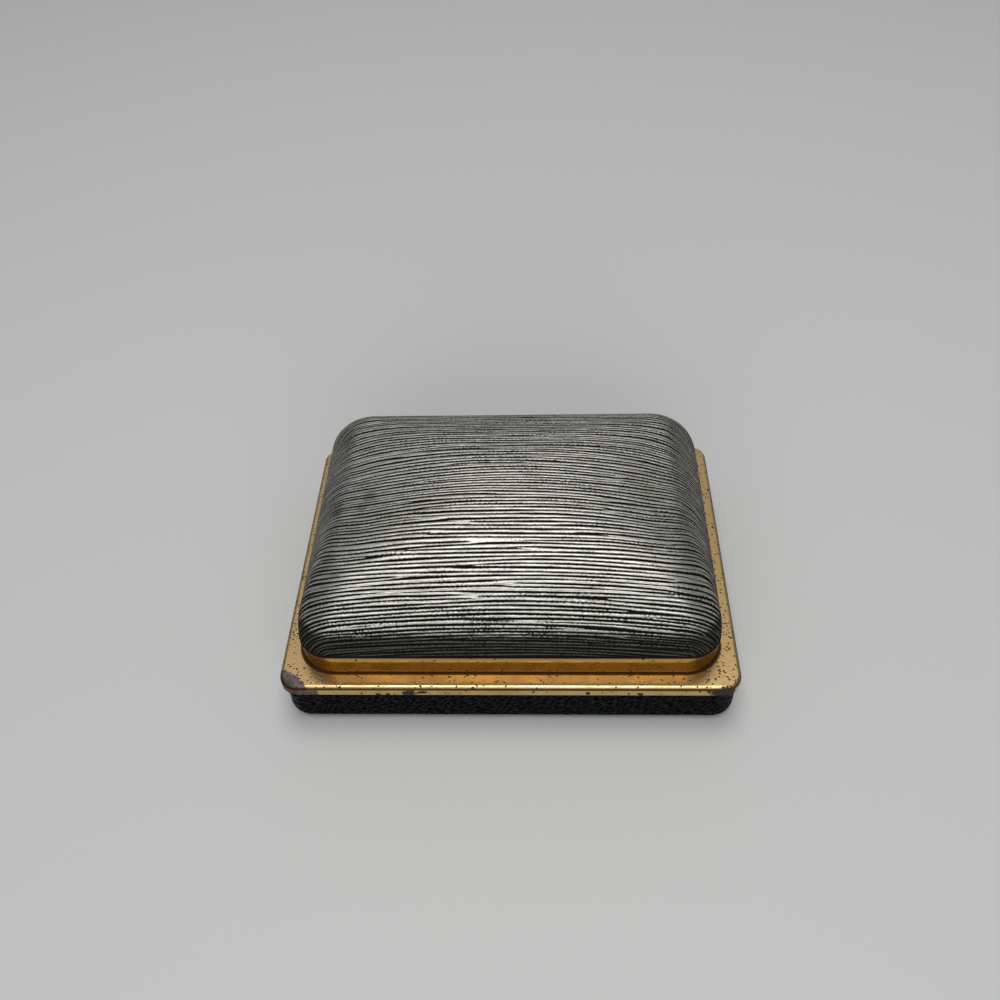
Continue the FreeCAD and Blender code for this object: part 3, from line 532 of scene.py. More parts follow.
def thread_relief(place):
    """Height of the threads, 1 on a ridge and 0 in a groove, and how far the cloth is sunk."""
    spans = place[2:]
    signal, strength = thread_field(*spans, RIB_PITCH, RIB_DRIFT, RIB_SEED)
    dash_signal = np.real(thread_field(*spans, DASH_PITCH, DASH_DRIFT, DASH_SEED)[0])
    dashes = sample(dash_signal, *place) / np.std(dash_signal)
    from_groove = np.abs(np.angle(sample(signal, *place))) / math.pi
    from_groove = from_groove - DASH_SPREAD * np.clip(dashes, -DASH_LIMIT, DASH_LIMIT)
    force = np.clip(sample(strength, *place), 0, MOST_STRENGTH)
    # A thread is a broad round with a narrow groove beside it; where threads join, the groove fades.
    rounded = 1 - np.clip((1 - from_groove) / ROUND_SPAN, 0, 1) ** 2
    strip = GROOVE_SHARE * smooth(*GROOVE_SPAN, from_groove) + (1 - GROOVE_SHARE) * rounded
    ridge = 1 - (1 - strip) * smooth(0.0, JOIN_STRENGTH, force)
    swell_signal = thread_field(*spans, SWELL_PITCH, SWELL_DRIFT, SWELL_SEED)[0]
    swell = sample(np.real(swell_signal), *place) / np.abs(swell_signal).max()
    return ridge, (1 - ridge) * RIB_DEPTH + SWELL_DEPTH * (1 - swell)


def dome_cover(material):
    form = dome_form(COVER_SINK)
    points, along, across = form.surface(RIB_ROWS, RIB_COLUMNS, END_CROWD)
    across = drawn_down(form, points, np.broadcast_to(across[:, None], along.shape))
    span_across = 2 * form.climb[-1] + FIELD_MARGIN
    span_along = 2 * along.max() + FIELD_MARGIN
    ridge, sunk = thread_relief((across, along, span_across, span_along))
    sunk = sunk * smooth(0.0, FOOT_FADE, points[..., 2] - DOME_FOOT)
    points = points - grid_normals(points) * sunk[..., None]
    points[..., 2] = np.maximum(points[..., 2], DOME_FOOT + FOOT_LIFT)
    points = points.reshape(-1, 3)
    # The cloth turns in under the foot of the dome.
    rim = grid_rim(RIB_ROWS, RIB_COLUMNS)
    flat = np.array([form.width / 2 - form.corner, form.depth / 2 - form.corner])
    edge = points[rim]
    ray = edge[:, :2] - np.clip(edge[:, :2], -flat, flat)
    ray = ray / np.maximum(np.linalg.norm(ray, axis=1, keepdims=True), CLOSE)
    hem = np.column_stack([edge[:, :2] - HEM_TURN * ray, np.full(len(rim), DOME_FOOT + FOOT_LIFT)])
    hem_numbers = list(range(len(points), len(points) + len(hem)))
    faces = grid_faces(RIB_ROWS, RIB_COLUMNS) + loop_faces(hem_numbers, rim)
    dark_hem = np.zeros(len(hem))
    uv = np.stack([along.ravel(), across.ravel()], -1) / UV_SPAN + 0.5
    piece = mesh_object(
        "dome_cover", np.concatenate([points, hem]), faces, material, "lid",
        attributes={"ridge": np.concatenate([ridge.ravel(), dark_hem])},
        uv=np.concatenate([uv, uv[rim]]))
    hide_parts("lid_cover")


WADDING_ROWS = 90
WADDING_COLUMNS = 91
WADDING_GAP = 0.1
WADDING_WALL = 2.0
WADDING_TOP = 2.5
WADDING_LIFT = 0.7
LUMP_WAVE_X, LUMP_WAVE_Y = 0.9, 0.7
LUMP_SHAKE = 2
LUMP_DEPTH = 0.12


def dome_wadding(material):
    rows, columns = WADDING_ROWS, WADDING_COLUMNS
    outer = dome_form(COVER_GAUGE + WADDING_GAP)
    inner = dome_form(COVER_GAUGE + WADDING_WALL, WADDING_TOP - WADDING_WALL)
    outer_points = outer.surface(rows, columns)[0]
    shake = LUMP_SHAKE * np.sin(LUMP_WAVE_Y * outer_points[..., 1])
    lumps = np.sin(LUMP_WAVE_X * outer_points[..., 0] + shake)
    outer_points = outer_points - grid_normals(outer_points) * LUMP_DEPTH * (1 + lumps[..., None])
    inner_points = inner.surface(rows, columns)[0]
    points = np.concatenate([outer_points.reshape(-1, 3), inner_points.reshape(-1, 3)])
    points[:, 2] = np.maximum(points[:, 2], DOME_FOOT + WADDING_LIFT)
    count = rows * columns
    faces = grid_faces(rows, columns) + grid_faces(rows, columns, first=count, flip=True)
    faces += loop_faces(grid_rim(rows, columns, count), grid_rim(rows, columns))
    piece = mesh_object("dome_wadding", points, faces, material, "lid")
    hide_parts("lid_padding")


# Leathercloth round the tray

TRAY_CORNER = 5.8
TRAY_EDGE = 2.2
LEATHER_CLEAR = 0.02
LEATHER_TURN_IN = 10.0
TURN_IN_LIFT = 0.03
HEAD_TURN = (-0.03, -0.05), (-0.5, 0.0)
RIPPLE_DEPTH = 0.03
RIPPLE_X, RIPPLE_Y = 0.21, 0.33
RIPPLE_SHAKE, SHAKE_Z = 1.1, 0.9
CROSS_RIPPLE, CROSS_Z = 0.47, 0.7
RIPPLE_FOOT_SPAN = 0.4, 2
RIPPLE_HEAD_SPAN = 0.2, 1.5


def leather_wrap(material):
    width, depth, foot, head = mm_span("base_cover")
    profile = [(-LEATHER_TURN_IN, foot + TURN_IN_LIFT), (-2 * TRAY_EDGE, foot)]
    profile += quarter(-TRAY_EDGE, foot + TRAY_EDGE, TRAY_EDGE, -90, 0, 9)
    profile += [(0, z) for z in np.linspace(foot + TRAY_EDGE, head, 9)[1:-1]]
    profile += [(offset, head + drop) for offset, drop in HEAD_TURN]
    outline = rounded_outline(width - 2 * LEATHER_CLEAR, depth - 2 * LEATHER_CLEAR, TRAY_CORNER)
    points = sweep(outline, profile)
    count = len(outline[0])
    # The glued skin is not dead flat on its board.
    x, y, z = points.T
    ripple = np.sin(RIPPLE_X * x + RIPPLE_Y * y + RIPPLE_SHAKE * np.sin(SHAKE_Z * z))
    ripple = ripple + np.sin(CROSS_RIPPLE * (x - y) + CROSS_Z * z)
    normals = np.tile(outline[1], (len(profile), 1))
    on_wall = smooth(*RIPPLE_FOOT_SPAN, z - foot) * smooth(*RIPPLE_HEAD_SPAN, head - z)
    points[:, :2] -= normals * (RIPPLE_DEPTH * on_wall * (2 + ripple))[:, None]
    piece = mesh_object("leather_wrap", points, grid_faces(len(profile), count, True), material, "base")
    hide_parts("base_cover")


# Velvet over the insert and round the inside of the lid

INSERT_CORNER = 4.7
VELVET_HEM = 6.0
VELVET_SKIRT = 3.0
VELVET_EDGE = 0.6
BOW_LENGTH = 78.0
BOW_WIDTH = 9.0
BOW_ROWS = (-21.0, -4.5, 12.0)
BOW_DEPTH = 9.5
BAY_SHIFT = 14.0
BAY_RADIUS = 7.0
BAY_EASE = 1.2
TUBE_LENGTH = 46.0
TUBE_WIDTH = 7.0
TUBE_ROW = 24.8
TUBE_DEPTH = 6.0
MOUTH_ROUND = 0.7
FLOOR_ROUND = 1.3
NET_CLOSE = 1e-5
WELD_DIGITS = 4


def slot_outline(length, width):
    radius = width / 2
    run = length / 2 - radius
    return joined([arc(run, 0, radius, -90, 90, 24), arc(-run, 0, radius, 90, 270, 24)])


def bow_outline():
    """Slot for a bow with a round bay for its screw, eased where they meet."""
    radius = BOW_WIDTH / 2
    run = BOW_LENGTH / 2 - radius
    away = radius + BAY_EASE
    half = math.sqrt((BAY_RADIUS + BAY_EASE) ** 2 - away ** 2)
    lean = math.degrees(math.atan2(away, half))
    left, right = BAY_SHIFT - half, BAY_SHIFT + half
    return joined([
        arc(left, -away, BAY_EASE, 90, lean, 6, -1),
        arc(BAY_SHIFT, 0, BAY_RADIUS, 180 + lean, 360 - lean, 18),
        arc(right, -away, BAY_EASE, 180 - lean, 90, 6, -1),
        arc(run, 0, radius, -90, 90, 20),
        arc(right, away, BAY_EASE, 270, 180 + lean, 6, -1),
        arc(BAY_SHIFT, 0, BAY_RADIUS, lean, 180 - lean, 18),
        arc(left, away, BAY_EASE, 360 - lean, 270, 6, -1),
        arc(-run, 0, radius, 90, 270, 20),
    ])


def level_net(border, holes):
    """Points and triangles of a flat sheet between a border and the mouths in it."""
    loops = [border] + holes
    flat = np.concatenate(loops)
    edges = []
    for loop in loops:
        first = len(edges)
        edges += [(first + i, first + (i + 1) % len(loop)) for i in range(len(loop))]
    net, _, triangles, _, _, _ = delaunay_2d_cdt([Vector(p) for p in flat], edges, [], 0, NET_CLOSE)
    net = np.array([tuple(p) for p in net])
    triangles = np.array(triangles)
    middle = net[triangles].mean(axis=1)
    kept = inside(middle, border)
    for hole in holes:
        kept &= ~inside(middle, hole)
    return net, triangles[kept]


def velvet_insert(material):
    width, depth, _, top = mm_span("insert_velvet")
    outline = rounded_outline(width, depth, INSERT_CORNER)
    skirt = [(0, top - VELVET_HEM), (0, top - VELVET_SKIRT)]
    skirt += quarter(-VELVET_EDGE, top - VELVET_EDGE, VELVET_EDGE, 0, 90)
    points = [sweep(outline, skirt)]
    count = len(outline[0])
    faces = grid_faces(len(skirt), count, True)
    border = points[0][-count:, :2]
    holes = []
    forms = [(bow_outline(), row, BOW_DEPTH) for row in BOW_ROWS]
    forms.append((slot_outline(TUBE_LENGTH, TUBE_WIDTH), TUBE_ROW, TUBE_DEPTH))
    for (flat, normals), row, deep in forms:
        floor = top - deep
        wall = quarter(MOUTH_ROUND, top - MOUTH_ROUND, MOUTH_ROUND, 90, 180)
        wall += [(0, z) for z in np.linspace(top - MOUTH_ROUND, floor + FLOOR_ROUND, 5)[1:-1]]
        wall += quarter(-FLOOR_ROUND, floor + FLOOR_ROUND, FLOOR_ROUND, 0, -90)
        first = sum(len(part) for part in points)
        rings = sweep((flat + (0, row), normals), wall)
        faces += grid_faces(len(wall), len(flat), True, first)
        faces.append(list(range(first + len(rings) - len(flat), first + len(rings))))
        points.append(rings)
        holes.append(rings[:len(flat), :2])
    net, triangles = level_net(border, holes)
    faces += (triangles + sum(len(part) for part in points)).tolist()
    points.append(np.column_stack([net, np.full(len(net), top)]))
    piece = welded("velvet_insert", np.concatenate(points), faces, material, "base")
    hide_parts("insert_velvet")


def welded(name, points, faces, material, body):
    """A piece whose coinciding points are made one."""
    rounded = np.round(points, WELD_DIGITS)
    _, first, back = np.unique(rounded, axis=0, return_index=True, return_inverse=True)
    back = back.ravel()
    faces = [[int(back[corner]) for corner in face] for face in faces]
    faces = [face for face in faces if len(set(face)) == len(face)]
    return mesh_object(name, points[first], faces, material, body)


STRIP_CORNER = 6.0
STRIP_LEAN = 1.16
STRIP_GAUGE = 0.7


def wall_strip(material):
    width, depth, bottom, head = mm_span("lid_wall_lining")
    middle = (bottom + head) / 2
    half = STRIP_GAUGE / 2
    profile = [(-STRIP_LEAN, head), (-STRIP_LEAN / 2, middle)]
    profile += quarter(-half, bottom + half, half, 0, -180, 9)
    profile += [(-STRIP_LEAN / 2 - STRIP_GAUGE, middle), (-STRIP_LEAN - STRIP_GAUGE, head)]
    outline = rounded_outline(width, depth, STRIP_CORNER)
    points = sweep(outline, profile)
    faces = grid_faces(len(profile), len(outline[0]), True, flip=True)
    piece = mesh_object("wall_strip", points, faces, material, "lid")
    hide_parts("lid_wall_lining")


# Satin pad in the lid

SATIN_ROWS = 240
SATIN_COLUMNS = 321
SATIN_CORNER = 3.9
SATIN_RUN = 12.0
SATIN_DROP = 1.2
SATIN_CROWN = 0.8
SATIN_SINK = 0.05
PUCKER_PITCH = 2.6
PUCKER_DEPTH = 0.16
PUCKER_RISE = 1.2
PUCKER_FALL = 1.5
PUCKER_REACH, REACH_SWING, REACH_WAVE, REACH_START = 6, 3, 0.37, 1.0
# Each wander of the puckers has a size, a wave round the edge and a lean inwards.
PUCKER_WANDER = (1.3, 0.23, 0.11), (0.9, 0.51, 0.0)


def satin_pad(material):
    width, depth, _, top = mm_span("lid_lining")
    form = Pillow(width, depth, SATIN_CORNER, SATIN_RUN, SATIN_DROP, SATIN_CROWN, top, -1.0)
    points, _, _ = form.surface(SATIN_ROWS, SATIN_COLUMNS)
    x, y = points[..., 0], points[..., 1]
    inset = form.inset_of(x, y)
    # Gathers run in from the glued edge and die out towards the middle.
    round_edge = np.where(depth / 2 - np.abs(y) < width / 2 - np.abs(x), x, y)
    wander = sum(size * np.sin(wave * round_edge + lean * inset) for size, wave, lean in PUCKER_WANDER)
    gather = np.cos(2 * math.pi * (round_edge + wander) / PUCKER_PITCH)
    reach = PUCKER_REACH + REACH_SWING * np.sin(REACH_WAVE * round_edge + REACH_START)
    shown = smooth(0.0, PUCKER_RISE, inset) * (1 - smooth(PUCKER_FALL, reach, inset))
    lift = PUCKER_DEPTH * gather * shown
    points[..., 2] = np.minimum(points[..., 2] + lift + SATIN_SINK, top)
    points = points.reshape(-1, 3)
    faces = grid_faces(SATIN_ROWS, SATIN_COLUMNS, flip=True)
    faces.append(grid_rim(SATIN_ROWS, SATIN_COLUMNS))
    piece = mesh_object("satin_pad", points, faces, material, "lid")
    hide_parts("lid_lining")


# Ribbed cloth: worn silver ridges between black grooves

SILVER_DULL = 0.33, 0.325, 0.29
SILVER_BRIGHT = 0.56, 0.55, 0.53
SILVER_WORN = 0.3, 0.28, 0.21
# Near-black silver for the painted shade low on the walls
SILVER_PAINTED_SHADE = 0.016, 0.016, 0.0125
GROOVE_BLACK = 0.0055, 0.0048, 0.003
EDGE_GLINT = 0.4, 0.4, 0.38, 1.0
STAIN_BROWN = 0.09, 0.06, 0.02
STAIN_SHARE = 0.45
STAIN_HEIGHT = 38.0
STAIN_REACH = 9.0
# Each stain has a place in plan, about the middle, and a radius.
STAINS = (-32.7, -3.6, 1.5), (-34.2, -6.6, 1.2), (-40.0, -6.2, 1.6)
BEAD_PITCH = 1.15
BEAD_SHAKE = 20.0
BEAD_DEPTH = 0.22
RAGGED_REACH = 0.45
# How far up a thread its silver starts and is full, low on the walls and higher up; the narrower silver
# low down paints shade on the lower flanks of the threads
SILVER_FROM = 0.85, 0.69
SILVER_FULL = 0.99, 0.93
RIDGE_ROUGHNESS = 0.3, 0.42
GROOVE_ROUGHNESS = 0.9
FLECK_SHARE = 0.35
HEIGHT_REACH = 3.0
# How much of that painted shade is mixed in
WALL_SHADE_SHARE = 0.85
METAL_SHARE = 0.85
# Heights above the foot of the dome
# Painted shade low on the walls: the silver darkens below the first span and narrows below the second
WALL_SHADE_SPAN = DOME_FOOT + 6.0, DOME_FOOT + 8.5
FLANK_SHADE_SPAN = DOME_FOOT + 7.0, DOME_FOOT + 17.0
# Painted shadow: the cloth is black up to this height over its foot, for the gap under the overhang
FOOT_SHADOW_SPAN = DOME_FOOT + 0.7, DOME_FOOT + 1.2


def ribbed_cloth():
    material = new_material("ribbed_cloth", Specular_IOR_Level=0.2, Specular_Tint=EDGE_GLINT)
    g = Graph(material)
    ridge = g.node("Attribute", attribute_name="ridge").outputs["Fac"]
    uv = g.node("UVMap", uv_map="cloth").outputs[0]
    cloth = g.scaled((UV_SPAN, UV_SPAN, UV_SPAN), uv)

    def woven(along, across, detail=2.0, roughness=0.6):
        """Noise with these frequencies along and across the threads, per millimetre."""
        return g.noise(detail=detail, roughness=roughness, place=g.scaled((along, across, 1.0), cloth))

    # Short cross threads along each rib, uneven and broken.
    turns = g.times(g.split(cloth)[0], 2 * math.pi / BEAD_PITCH)
    beads = g.math("SINE", g.plus(turns, g.times(woven(along=0.3, across=1.2), BEAD_SHAKE)))
    beaded = g.band(woven(along=0.08, across=0.3), low=0.46, high=0.62)
    gaps = g.times(beaded, g.fade(beads, low=-0.75, high=0.1))
    ticks = g.minus(woven(along=2.2, across=1.6), g.times(gaps, BEAD_DEPTH))
    flecks = woven(along=0.3, across=1.7, detail=3.0, roughness=0.65)
    worn = g.noise(scale=0.07, detail=4.0)
    silver = g.mix(g.band(flecks), SILVER_DULL, SILVER_BRIGHT)
    silver = g.mix(g.band(worn, low=0.5, high=0.75, high_out=0.35), silver, SILVER_WORN)
    stains = [g.patch((x, y, STAIN_HEIGHT), (radius, radius, STAIN_REACH), ragged=0.7, grain=0.5, soft=0.5)
              for x, y, radius in STAINS]
    silver = g.mix(g.times(g.most(stains), STAIN_SHARE), silver, STAIN_BROWN)
    # Painted shade: low on the walls the silver is darkened and narrowed, standing in for the shade on the
    # walls and on the lower flanks of the threads.
    height = g.plus(g.z, g.swing(flecks, HEIGHT_REACH))
    wall_shade = g.fade(height, *WALL_SHADE_SPAN)
    silver = g.mix(g.times(wall_shade, WALL_SHADE_SHARE), silver, SILVER_PAINTED_SHADE)
    above_flank_shade = g.band(height, *FLANK_SHADE_SPAN)
    ragged = g.plus(ridge, g.swing(ticks, RAGGED_REACH))
    silvered = g.band(ragged, low=g.blend(above_flank_shade, *SILVER_FROM), high=g.blend(above_flank_shade, *SILVER_FULL))
    # Painted shadow: no silver just above the foot, so the cloth there is groove black
    shown = g.times(silvered, g.band(g.z, *FOOT_SHADOW_SPAN))
    ridge_rough = g.blend(g.band(ticks), *RIDGE_ROUGHNESS)
    relief = g.blend(FLECK_SHARE, ticks, flecks)
    g.set(Base_Color=g.mix(shown, GROOVE_BLACK, silver), Metallic=g.times(shown, METAL_SHARE),
          Roughness=g.blend(shown, GROOVE_ROUGHNESS, ridge_rough),
          Normal=g.bump(relief, distance_mm=0.09, strength=0.9))
    return material


# Gilt sheet of the frame and the rim

FRAME_LOW, FRAME_HIGH = mm_box("base_frame")
FLANGE_TOP = FRAME_HIGH[2]
FRONT = FRAME_LOW[1]
LEFT = FRAME_LOW[0]
RIM_LOW, RIM_HIGH = mm_box("lid_rim")
RIM_TOP = RIM_HIGH[2]
RIM_HALF = RIM_HIGH[0], -RIM_LOW[1]
RIM_CORNER = 8.5
# Tones are light, dark and worn.
FRAME_TONES = (0.68, 0.47, 0.22), (0.54, 0.35, 0.145), (0.33, 0.2, 0.09)
RIM_TONES = (0.37, 0.215, 0.03), (0.3, 0.165, 0.02), (0.18, 0.09, 0.015)
# Paler gilt for the painted reflection and painted highlight on the rim
GILT_PAINTED_REFLECTION = 0.62, 0.45, 0.25
BARE_EDGE = 0.15, 0.115, 0.12
BARE_MIDDLE = 0.085, 0.09, 0.062
BARE_ROUGHNESS = 0.5
# Brown-black for the painted shadow beside the rim and the painted dark reflection on the flange's turn
PAINTED_DARK_BROWN = 0.045, 0.012, 0.003
PAINTED_DARK_SHARE = 0.93
PAINTED_DARK_ROUGHNESS = 0.6
PIT_BLACK = 0.014, 0.008, 0.005
PIT_CORE = 0.6
PIT_ROUGHNESS = 0.65
PIT_DULLNESS = 0.8
DULLER = 0.12
DENT_SHARE = 0.25


def pits(g, scale, radius, density, turn=35, stretch=1.8):
    """Small dark pits; density says what share of the cells has one."""
    distance, chance = g.cells(scale, g.stretched(turn, (1.0, stretch, 1.0)))
    hit = g.math("LESS_THAN", chance, density)
    return g.times(g.fade(distance, low=radius * PIT_CORE, high=radius), hit)


def gilt(name, tones, polish, pit_share, bare=None, nicks=None, painted_reflection=None, painted_darks=None):
    """Worn gilt sheet: cloudy gold with dark pits, bare patches and nicked edges."""
    light, dark, worn = tones
    material = new_material(name, Metallic=1.0)
    g = Graph(material)
    cloud = g.noise(scale=0.16, detail=5.0)
    streaks = g.noise(detail=4.0, place=g.scaled((0.5, 2.2, 2.2)))
    colour = g.mix(g.band(cloud, low=0.35, high=0.7), light, dark)
    colour = g.mix(g.band(streaks, low=0.56, high=0.8, high_out=0.4), colour, worn)
    sides = g.band(g.math("ABSOLUTE", g.x), low=36.0, high=50.0, low_out=0.35)
    crowds = g.noise(scale=0.12, detail=2.0, roughness=0.55)
    gathered = g.band(crowds, high=0.65, low_out=0.4, high_out=1.6)
    density = g.times(g.times(sides, pit_share), gathered)
    holes = g.most([pits(g, 0.62, radius=0.3, density=density, turn=35, stretch=2.0),
                    pits(g, 0.95, radius=0.34, density=density, turn=-50, stretch=1.6)])
    rough = g.blend(g.band(cloud), polish, polish + DULLER)
    # Painted reflections: paler gilt where a band is given
    if painted_reflection:
        colour = g.mix(painted_reflection(g), colour, GILT_PAINTED_REFLECTION)
    if bare:
        inner, outer = bare(g)
        colour = g.mix(outer, colour, BARE_EDGE)
        colour = g.mix(inner, colour, BARE_MIDDLE)
        rough = g.blend(outer, rough, BARE_ROUGHNESS)
    if nicks:
        holes = g.most([holes, nicks(g)])
    # Painted shadow beside the rim and painted dark reflection on the turn of the flange
    if painted_darks:
        painted_dark = painted_darks(g)
        colour = g.mix(g.times(painted_dark, PAINTED_DARK_SHARE), colour, PAINTED_DARK_BROWN)
        rough = g.blend(painted_dark, rough, PAINTED_DARK_ROUGHNESS)
    dents = g.times(g.noise(scale=0.9, detail=4.0), DENT_SHARE)
    g.set(Base_Color=g.mix(holes, colour, PIT_BLACK),
          Metallic=g.minus(1.0, g.times(holes, PIT_DULLNESS)),
          Roughness=g.blend(holes, rough, PIT_ROUGHNESS),
          Normal=g.bump(g.minus(dents, holes), distance_mm=0.06, strength=0.55))
    return material


def rim_painted_reflections(g):
    """Painted reflections: a paler band round the head of the rim, under the cloth, and a painted
    highlight along its lower edge.
    """
    head = g.band(g.z, low=RIM_TOP - 1.75, high=RIM_TOP - 1.5, high_out=0.5)
    return g.most([head, g.fade(g.z, low=FLANGE_TOP + 0.7, high=FLANGE_TOP + 0.85)])


def frame_painted_darks(g):
    """Painted shadow in the gap beside the rim, and a painted dark reflection on the turn between the
    flange and its lip.
    """
    out = g.node("CombineXYZ")
    for socket, value, half in zip(out.inputs, (g.x, g.y), RIM_HALF):
        beyond = g.minus(g.math("ABSOLUTE", value), half - RIM_CORNER)
        g.link(g.math("MAXIMUM", beyond, 0.0), socket)
    away = g.minus(g.vector("LENGTH", out.outputs[0]), RIM_CORNER)
    rim_gap_shadow = g.times(g.band(away, low=-0.5, high=-0.3), g.fade(away, low=0.45, high=0.8))
    # Painted dark reflection on the turn between the flange and its lip
    turn = g.times(g.band(g.z, low=FLANGE_TOP - 1.0, high=FLANGE_TOP - 0.85),
                   g.fade(g.z, low=FLANGE_TOP - 0.34, high=FLANGE_TOP - 0.18))
    return g.most([rim_gap_shadow, turn])


BARE_LENGTH = 7.2
BARE_DEPTH = 5.4
BARE_ROUND = 1.4
BARE_RAGGED = 0.7


def frame_bare(g):
    """Gilding rubbed off the front left corner, down over its lip."""
    along = g.math("DIVIDE", g.minus(g.x, LEFT), BARE_LENGTH)
    inwards = g.math("DIVIDE", g.minus(g.y, FRONT), BARE_DEPTH)
    rounded = g.plus(g.math("POWER", along, BARE_ROUND), g.math("POWER", inwards, BARE_ROUND))
    corner = g.plus(rounded, g.swing(g.noise(scale=0.7, roughness=0.55), BARE_RAGGED))
    on_lip = g.times(g.fade(g.z, low=FLANGE_TOP - 1.2, high=FLANGE_TOP - 0.7),
                     g.fade(g.x, low=LEFT + 9.0, high=LEFT + 9.5))
    front_lip = g.times(on_lip, g.fade(g.y, low=FRONT + 4.0, high=FRONT + 5.0))
    outer = g.most([g.fade(corner, low=0.92, high=1.0), front_lip])
    return g.fade(corner, low=0.45, high=0.62), outer


LIP = FLANGE_TOP - 1.9
NICK_DEPTH = 1.2
# Each nick has a place along the front edge, a height, a half width and a half height.
NICKS = (
    (-29.9, LIP - 0.5, 0.7, 0.5), (-27.6, LIP - 0.5, 0.5, 0.4), (-22.6, LIP, 1.6, 1.0),
    (-19.6, LIP + 0.3, 1.2, 0.6), (18.1, LIP, 0.6, 0.7), (29.9, LIP - 0.3, 0.7, 0.5),
    (49.6, LIP + 0.3, 4.4, 1.7), (-38.5, FLANGE_TOP - 0.3, 0.4, 0.25),
    (-8.0, FLANGE_TOP - 0.4, 0.5, 0.4),
)


def frame_nicks(g):
    """Nicks along the front lip and the worn end of it at the right."""
    return g.most([g.patch((x, FRONT, z), (wide, NICK_DEPTH, high), ragged=0.8, grain=1.1, soft=0.15)
                   for x, z, wide, high in NICKS])


# Leathercloth, velvet and satin

LEATHER_DARK = 0.0002, 0.0005, 0.0008
LEATHER_LIGHT = 0.0026, 0.0036, 0.0048
# Pale specks: painted highlights of the grain
LEATHER_PAINTED_GLINT = 0.2, 0.2, 0.19
PAINTED_GLINT_SHARE = 0.7
GRAIN_TURN = -38
FINE_SHARE = 0.25


def leathercloth():
    material = new_material("black_leathercloth")
    g = Graph(material)
    wall = g.node("CombineXYZ")
    g.link(g.plus(g.x, g.y), wall.inputs[0])
    g.link(g.z, wall.inputs[1])
    wall_place = g.stretched(GRAIN_TURN, (0.75, 2.3, 1.0), wall.outputs[0])
    ridges = g.noise(detail=2.0, roughness=0.5, place=wall_place)
    fine = g.noise(scale=3.2, detail=3.0)
    grain = g.blend(FINE_SHARE, ridges, fine)
    colour = g.mix(g.band(ridges, low=0.35, high=0.7), LEATHER_DARK, LEATHER_LIGHT)
    # Painted highlights: pale specks standing in for glints of the grain, most of them along the lower
    # edge.
    low_edge_glints = g.band(g.z, low=1.6, high=3.2, low_out=0.3, high_out=0.03)
    painted_glints = pits(g, 0.9, radius=0.13, density=low_edge_glints, turn=10, stretch=1.2)
    g.set(Base_Color=g.mix(g.times(painted_glints, PAINTED_GLINT_SHARE), colour, LEATHER_PAINTED_GLINT),
          Specular_IOR_Level=g.band(grain, low=0.42, high=0.66, high_out=0.12),
          Roughness=g.band(grain, low_out=0.58, high_out=0.34),
          Normal=g.bump(grain, distance_mm=0.45, strength=0.9))
    return material


VELVET_DARK = 0.008, 0.012, 0.055
VELVET_LIGHT = 0.018, 0.028, 0.105
VELVET_DEEP = 0.004, 0.006, 0.03
VELVET_SHEEN = 0.3, 0.4, 0.85, 1.0
NAP_TURN = 20


def velvet():
    material = new_material("blue_velvet", Roughness=0.85, Sheen_Weight=0.9, Sheen_Roughness=0.35,
                            Sheen_Tint=VELVET_SHEEN, Specular_IOR_Level=0.2)
    g = Graph(material)
    nap = g.noise(detail=4.0, place=g.stretched(NAP_TURN, (0.12, 0.3, 0.3)))
    pile = g.noise(scale=7.0, detail=2.0)
    colour = g.mix(g.band(nap, low=0.35, high=0.68), VELVET_DARK, VELVET_LIGHT)
    colour = g.mix(g.band(pile, low=0.35, high=0.75, high_out=0.5), colour, VELVET_DEEP)
    g.set(Base_Color=colour, Normal=g.bump(pile, distance_mm=0.16, strength=0.9))
    return material


SATIN_DARK = 0.035, 0.055, 0.19
SATIN_LIGHT = 0.055, 0.085, 0.27
SATIN_FADED = 0.075, 0.09, 0.2


def satin():
    material = new_material("blue_satin", Anisotropic=0.5, Sheen_Weight=0.25, Specular_IOR_Level=0.6)
    g = Graph(material)
    weave = g.noise(detail=2.0, place=g.scaled((1.2, 6.0, 1.2)))
    faded = g.noise(scale=0.06, detail=4.0)
    colour = g.mix(g.band(weave), SATIN_DARK, SATIN_LIGHT)
    colour = g.mix(g.band(faded, low=0.5, high=0.75, high_out=0.5), colour, SATIN_FADED)
    g.set(Base_Color=colour,
          Roughness=g.band(weave, low_out=0.26, high_out=0.4),
          Normal=g.bump(weave, distance_mm=0.04, strength=0.6))
    return material


# Wood, board, wadding, brass and steel

ROUGH_SWING = 0.08
MOTTLE_SHARE = 0.3
BRUSHED = 0.15
TARNISH_SPOT = 0.05, 0.035, 0.02
SPOT_SHARE = 0.8


def fibrous(name, dark, light, grain_scale, roughness, relief):
    """Wood, board or wadding: streaked or felted fibres."""
    material = new_material(name)
    g = Graph(material)
    streaks = g.noise(detail=5.0, roughness=0.62, place=g.scaled(grain_scale))
    mottle = g.noise(scale=0.22, detail=4.0)
    tone = g.blend(MOTTLE_SHARE, streaks, mottle)
    g.set(Base_Color=g.mix(g.band(tone, low=0.34, high=0.66), dark, light),
          Roughness=g.plus(g.band(streaks, low_out=-ROUGH_SWING, high_out=ROUGH_SWING), roughness),
          Normal=g.bump(streaks, distance_mm=relief, strength=0.7))
    return material


